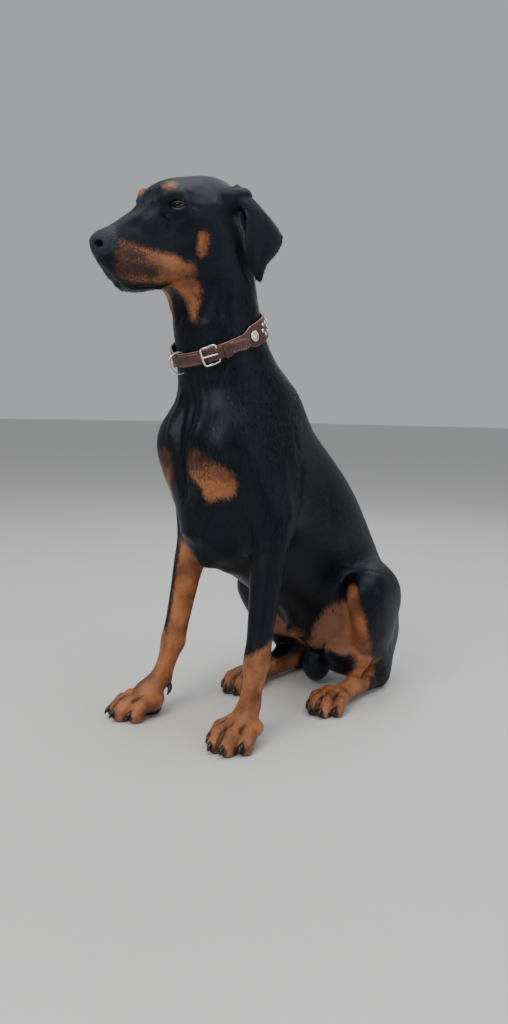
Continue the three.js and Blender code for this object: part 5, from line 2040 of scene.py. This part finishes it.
@dataclass
class Collar:
    """A leather strap with a buckle, a ring and studs.

    Args:
        flat: How round the leather's section is across its width, from 0 for square to 1.
        crisp: How round it is across its thickness, from 0 for square to 1.
        bead: Height of the raised line along the strap's edges.
        reach_low: How far out the lower inner edge lies, every ten degrees.
    """

    flat: float = 0.35
    crisp: float = 0.5
    bead: float = 0.35
    leather: Material = field(init=False)
    steel: Material = field(init=False)
    reach_low: Array = field(init=False)
    reach_high: Array = field(init=False)

    def __post_init__(self) -> None:
        """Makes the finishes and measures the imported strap."""
        self.leather = LeatherFinish().dress()
        self.steel = SteelFinish().dress()
        self.reach_low, self.reach_high = self.measure()

    def measure(self) -> tuple[Array, Array]:
        """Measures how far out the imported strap's inner edges lie.

        Returns:
            The reach of the lower and of the upper edge, every ten degrees.
        """
        middle, up = np.array(COLLAR.at), COLLAR.up()
        p = Place.dog(coords(bpy.data.objects["collar_strap"].data)) - middle
        level = p @ up
        flat = p - level[:, None] * up
        front = COLLAR.out(0)[0]
        angle = np.mod(np.degrees(np.arctan2(flat[:, 0], flat @ front)), 360)
        reach = np.linalg.norm(flat, axis=1)
        edges = []
        for sign in (-1, 1):
            row = []
            for deg in range(0, 360, 10):
                near = (np.abs((angle - deg + 180) % 360 - 180) < 1.2) & (level * sign > 7)
                row.append(reach[near].min() if near.any() else np.nan)
            row = np.array(row)
            gaps = np.isnan(row)
            known = np.flatnonzero(~gaps)
            row[gaps] = np.interp(np.flatnonzero(gaps), known, row[~gaps], period=36)
            edges.append(row)
        return edges[0], edges[1]

    def reach(self, deg: Array, share: Array) -> Array:
        """Finds the strap's inner reach.

        Args:
            deg: Angles round the neck.
            share: Height across the strap, from -1 at its lower edge to 1 at its upper edge.

        Returns:
            The distance from the collar's middle.
        """
        deg = np.mod(np.atleast_1d(np.asarray(deg, float)), 360)
        t = deg / 10
        i = np.floor(t).astype(int)
        low, high = (cubic(*(row[(i + k) % 36] for k in (-1, 0, 1, 2)), t - i)
                     for row in (self.reach_low, self.reach_high))
        return low + (high - low) * (np.asarray(share) + 1) / 2

    def spot(self, deg: Array, v: Array, lift: Array) -> Array:
        """Finds points on the strap.

        Args:
            deg: Angles round the neck.
            v: Height across the strap, from its middle.
            lift: How far out they lie from its inner face.

        Returns:
            The points in the dog's frame.
        """
        deg = np.atleast_1d(np.asarray(deg, float))
        v = np.broadcast_to(np.asarray(v, float), deg.shape)
        r = self.reach(deg, v / (COLLAR.width(deg) / 2)) + lift
        return np.array(COLLAR.at) + v[:, None] * COLLAR.up() + COLLAR.out(deg) * r[:, None]

    def basis(self, deg: float, v: float, lift: float) -> tuple[Array, Array, Array, Array]:
        """Finds a place on the strap and the ways along, up and out there.

        Args:
            deg: Its angle.
            v: Its height across the strap.
            lift: How far out it lies.

        Returns:
            The place and the three directions.
        """
        out = COLLAR.out(deg)[0]
        up = COLLAR.up()
        return self.spot(deg, v, lift)[0], unit(np.cross(up, out)), up, out

    def strap(self) -> None:
        """Builds the strap with rounded, paler cut edges."""
        steps, around = 200, 28
        obj = torus(steps, around)
        deg = np.repeat(np.arange(steps) * 360 / steps, around)
        g = np.tile(np.arange(around) * 2 * math.pi / around, steps)
        a = signed_power(np.sin(g), self.flat)
        b = signed_power(np.cos(g), self.crisp)
        bead = self.bead * smoothstep(np.abs(a), 0.86, 0.95) * (b > 0)
        lift = COLLAR.thick * (0.5 + 0.5 * b) + bead
        shape(obj, self.spot(deg, a * (COLLAR.width(deg) / 2), lift))
        add_value(obj.data, "edge", np.abs(a) * (0.55 + 0.45 * (1 - np.abs(b))))
        finish_piece(obj, "leather_strap", self.leather)
        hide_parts("collar_strap")

    def belt(self, name: str, node: str, span: tuple[float, float], base: float, thick: float,
             half: Callable[[Array], Array], segments: int) -> None:
        """Builds a flat strip of leather lying on the strap, closed at both ends.

        Args:
            name: The piece's name.
            node: The node that it stands for.
            span: The angles where it starts and ends.
            base: Lift of its inner face.
            thick: Its thickness.
            half: Gives half its width at angles.
            segments: Faces along it.
        """
        start, end = span
        obj = ball(20, segments)
        co = coords(obj.data)
        t = np.arccos(np.clip(-co[:, 2], -1, 1)) / math.pi
        g = np.arctan2(co[:, 1], co[:, 0])
        pole = np.hypot(co[:, 0], co[:, 1]) < 1e-4
        deg = start + (end - start) * t
        tongue = node == "collar_tongue"
        rise = self.tongue_rise(deg) if tongue else 0.0
        drop = -self.tongue_drop(deg) if tongue else 0.0
        a = np.where(pole, 0, signed_power(np.sin(g), self.flat))
        b = np.where(pole, 0, signed_power(np.cos(g), self.crisp))
        lift = base + rise + thick * (0.5 + 0.5 * b)
        shape(obj, self.spot(deg, a * half(deg) + drop, lift))
        near_end = smoothstep(deg, end - 2.2, end)
        edge = np.maximum(np.abs(a), near_end) * (0.6 + 0.4 * (1 - np.abs(b)))
        add_value(obj.data, "edge", edge)
        finish_piece(obj, name, self.leather)
        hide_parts(node)

    @staticmethod
    def tongue_half(deg: Array) -> Array:
        """Returns half the tongue's width, which rounds off at its end."""
        t = np.clip((deg - COLLAR.tongue_end + 10) / 10, 0, 1)
        return (COLLAR.narrow - 3) / 2 * np.sqrt(np.maximum(0.03, 1 - t * t))

    @staticmethod
    def keeper_half(deg: Array) -> Array:
        """Returns half the keeper's width, a little more than the strap's."""
        return np.full(np.shape(deg), (COLLAR.narrow + 1.5) / 2)

    @staticmethod
    def tongue_rise(deg: Array) -> Array:
        """Returns how far the tongue lifts where it passes over the buckle's hinge bar."""
        return 2.8 * np.exp(-(((deg - COLLAR.buckle - 8.5) / 4.5) ** 2))

    @staticmethod
    def tongue_drop(deg: Array) -> Array:
        """Returns how far below the strap's middle the tongue lies, where the strap widens."""
        return 3.4 * smoothstep(np.asarray(deg, float), 62, 80)

    def stitches(self) -> None:
        """Builds the pale stitches along the edges of the tongue and of the strap's throat."""
        base = COLLAR.thick + COLLAR.gap + COLLAR.tongue
        made = []

        def stitch(ends: Array, v: Array, lift: Array) -> None:
            """Adds one stitch through three places on the leather."""
            made.append(rod(self.spot(ends, v, lift), (0.3, 0.42, 0.3), 6, 6))

        stretch, pitch = np.array([0.0, 0.95, 1.9]), 3.1
        for sign in (-1, 1):
            for deg in np.arange(60, COLLAR.tongue_end - 3, pitch):
                ends = deg + stretch
                v = sign * (self.tongue_half(ends) - 2.3) - self.tongue_drop(ends)
                stitch(ends, v, base + np.array([-0.35, 0.22, -0.35]))
        for sign in (-1, 1):
            for deg in np.arange(-30, 20, pitch):
                if abs(deg - COLLAR.ring) >= 3:
                    v = sign * (COLLAR.narrow / 2 - 3.0)
                    stitch(deg + stretch, v, COLLAR.thick + np.array([-0.3, 0.25, -0.3]))
        finish_piece(join(made), "stitching", THREAD.dress())

    def wire_loop(self, name: str, node: str, place: tuple[Array, Array, Array],
                  sizes: tuple[float, float, float], wire: float, sink: float = 0.0) -> None:
        """Builds a closed loop of round wire.

        Args:
            name: The piece's name.
            node: The node that it stands for.
            place: The loop's middle, its first and its second axis.
            sizes: Half its length along each axis, and how square it is.
            wire: The wire's radius.
            sink: How far its far side is shifted through its plane.
        """
        at, first, second = place
        a, b, power = sizes
        through = unit(np.cross(first, second))

        def path(turn: Array) -> tuple[Array, Array, Array]:
            """Finds the wire's middle line.

            Args:
                turn: Angles round the loop.

            Returns:
                The line's points and the section's two axes there.
            """
            c, s = np.cos(turn), np.sin(turn)
            u = a * signed_power(c, power)
            v = b * signed_power(s, power)
            middle = at + first * u[:, None] + second * v[:, None]
            middle = middle + through * (sink * smoothstep(u, -0.2 * a, 0.7 * a))[:, None]
            outwards = unit(first * (c / a)[:, None] + second * (s / b)[:, None])
            return middle, outwards, np.broadcast_to(through, middle.shape)

        obj = loop_tube(path, (wire, wire), 96, 12)
        finish_piece(obj, name, self.steel)
        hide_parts(node)

    def fittings(self) -> None:
        """Builds the buckle's frame and prong, and the lead ring."""
        c = COLLAR
        lift = c.thick + c.tongue + c.gap + 1.7 + 0.6
        at, along, up, _ = self.basis(c.buckle, 0, lift)
        self.wire_loop("buckle_frame", "collar_buckle", (at, along, up), (12, 13.5, 0.3), 1.5, -5.0)
        base = c.thick + c.gap + c.tongue
        place, along, up, out = self.basis(c.buckle, 0, base)
        line = ((-13, 3.2), (-4, 2.6), (6, 2.6), (14, 3.6))
        prong = rod([place + along * x + out * h for x, h in line], (1.2, 1.4, 1.4, 1.3), 12, 14)
        finish_piece(prong, "buckle_prong", self.steel)
        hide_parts("collar_prong")
        at, along, up, out = self.basis(c.ring, 0, c.thick / 2)
        turn = math.radians(78)
        across = along * math.cos(turn) - out * math.sin(turn)
        radius, wire = 16.5, 1.7
        centre = at + up * (c.narrow / 2 + wire + c.gap - radius)
        self.wire_loop("lead_ring", "collar_ring", (centre, across, up), (radius, radius, 1), wire)

    @staticmethod
    def dome(place: tuple[Array, Array, Array, Array], radius: float, height: float,
             petals: int, segments: int) -> Object:
        """Builds a domed stud, fluted like petals round a bead where it has them.

        Args:
            place: The middle of its base, the two axes of its base, and its axis.
            radius: Its radius.
            height: Its height.
            petals: How many flutes it has, or 0.
            segments: Faces round it.

        Returns:
            The stud as an object.
        """
        at, along, up, out = place
        obj = ball(segments, max(8, segments // 2))
        co = coords(obj.data)
        r = np.hypot(co[:, 0], co[:, 1])
        g = np.arctan2(co[:, 1], co[:, 0])
        above = co[:, 2] > 0
        top = np.where(above, co[:, 2] ** 0.85, 0)
        h = np.where(above, height * top, -1.0 * np.minimum(1, -co[:, 2] * 3))
        if petals:
            flute = 0.5 + 0.5 * np.cos(petals * g)
            h = h - np.where(above, 0.75 * (1 - flute) * smoothstep(r, 0.3, 0.5), 0)
            groove = 0.9 * smoothstep(r, 0.2, 0.3) * smoothstep(0.45 - r, 0, 0.1)
            h = h - np.where(above, groove, 0)
            r = r * (1 - 0.05 * (1 - flute) * smoothstep(r, 0.5, 1.0))
        first, second = radius * r * np.cos(g), radius * r * np.sin(g)
        return shape(obj, at + along * first[:, None] + up * second[:, None] + out * h[:, None])

    def studs(self) -> None:
        """Builds the large fluted studs and the small ones between them."""
        c = COLLAR
        for i, deg in enumerate(c.conchos):
            obj = self.dome(self.basis(deg, 0, c.thick + 1.2), 8.5, 3.6, 12, 72)
            finish_piece(obj, f"concho_{i + 1}", self.steel)
            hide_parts(f"collar_concho_{i + 1}")
        small = []
        for start, end in zip(c.conchos, c.conchos[1:]):
            for t, v in ((0.33, 0), (0.42, 7), (0.42, -7), (0.58, 7), (0.58, -7), (0.67, 0)):
                place = self.basis(start + (end - start) * t, v, c.thick + 0.3)
                small.append(self.dome(place, 3.1, 2.2, 0, 20))
        finish_piece(join(small), "small_studs", self.steel)

    def build(self) -> None:
        """Builds the whole collar."""
        c = COLLAR
        self.strap()
        base = c.thick + 0.3
        self.belt("leather_tongue", "collar_tongue", (c.buckle - 4, c.tongue_end), base, c.tongue,
                  self.tongue_half, 90)
        self.belt("leather_keeper", "collar_keeper", (c.buckle + 15, c.buckle + 22.5),
                  base + c.tongue + 0.1, 1.9, self.keeper_half, 24)
        self.stitches()
        self.fittings()
        self.studs()


# Floor, light and camera


@dataclass(frozen=True)
class Studio:
    """The floor, the lights and the camera, whose angles are in degrees."""

    camera_at: Point = (930.88, -751.86, 500.0)
    azimuth: float = 46.0
    pitch: float = 7.0
    roll: float = 1.1
    focal: float = 27.04

    def floor(self) -> None:
        """Builds the plain pale floor."""
        deselect()
        bpy.ops.mesh.primitive_grid_add(
            x_subdivisions=8, y_subdivisions=8, size=120, location=(0, 0, 0)
        )
        obj = bpy.context.object
        obj.name = "floor"
        obj.data.materials.append(PALE_FLOOR.dress())

    @staticmethod
    def lamp(name: str, at: Point, aim: Point, size: float, power: float, colour: Point) -> None:
        """Adds one soft lamp.

        Args:
            name: Its name.
            at: Its place in metres.
            aim: What it points at.
            size: Its size in metres.
            power: Its power in watts.
            colour: Its colour.
        """
        data = bpy.data.lights.new(name, "AREA")
        data.size = size
        data.energy = power
        data.color = colour
        obj = add_object(name, data)
        obj.location = at
        obj.rotation_euler = (Vector(aim) - Vector(at)).to_track_quat("-Z", "Y").to_euler()

    def lights(self) -> None:
        """Adds soft lamps and an even pale surrounding."""
        self.lamp("key", (0.6, -2.6, 2.3), (0, 0, 0.45), 1.8, 70, (1.0, 0.98, 0.95))
        self.lamp("sky", (0.3, 0.2, 3.0), (0, 0, 0.3), 2.6, 58, (0.93, 0.96, 1.0))
        self.lamp("fill", (2.6, 0.7, 1.3), (0, 0.05, 0.4), 1.6, 15, (0.95, 0.97, 1.0))
        self.lamp("rim", (-1.4, 2.0, 1.9), (0, 0, 0.5), 1.6, 8, (1.0, 1.0, 1.0))
        world = bpy.data.worlds.new("surrounding")
        world.use_nodes = True
        colour, strength = world.node_tree.nodes["Background"].inputs[:2]
        colour.default_value = (0.86, 0.88, 0.92, 1.0)
        strength.default_value = 0.48
        bpy.context.scene.world = world

    def camera(self) -> None:
        """Adds the camera at the photograph's place and angle."""
        data = bpy.data.cameras.new("camera")
        data.sensor_fit = "AUTO"
        data.sensor_width = 36
        data.lens = self.focal
        data.clip_start, data.clip_end = 0.05, 200
        obj = add_object("camera", data)
        obj.location = Vector(Place.world(self.camera_at))
        a, p = math.radians(self.azimuth), math.radians(self.pitch)
        ahead = Vector((-math.sin(a) * math.cos(p), math.cos(a) * math.cos(p), -math.sin(p)))
        level = ahead.to_track_quat("-Z", "Y").to_matrix()
        obj.rotation_euler = (level @ Matrix.Rotation(math.radians(self.roll), 3, "Z")).to_euler()
        bpy.context.scene.camera = obj

    def build(self) -> None:
        """Builds the floor, the lights and the camera."""
        self.floor()
        self.lights()
        self.camera()


def main() -> None:
    """Builds the dog, its collar and the studio."""
    logging.basicConfig(level=logging.INFO, format="%(name)s %(message)s")
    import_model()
    deselect()
    Place.settle()
    Studio().build()
    markings = Markings()
    skin = Skin(markings).build()
    Eyes().build()
    Claws().build()
    Whiskers(skin).build()
    Collar().build()
    Coat(skin, markings).build()
    deselect()


if __name__ == "__main__":
    main()
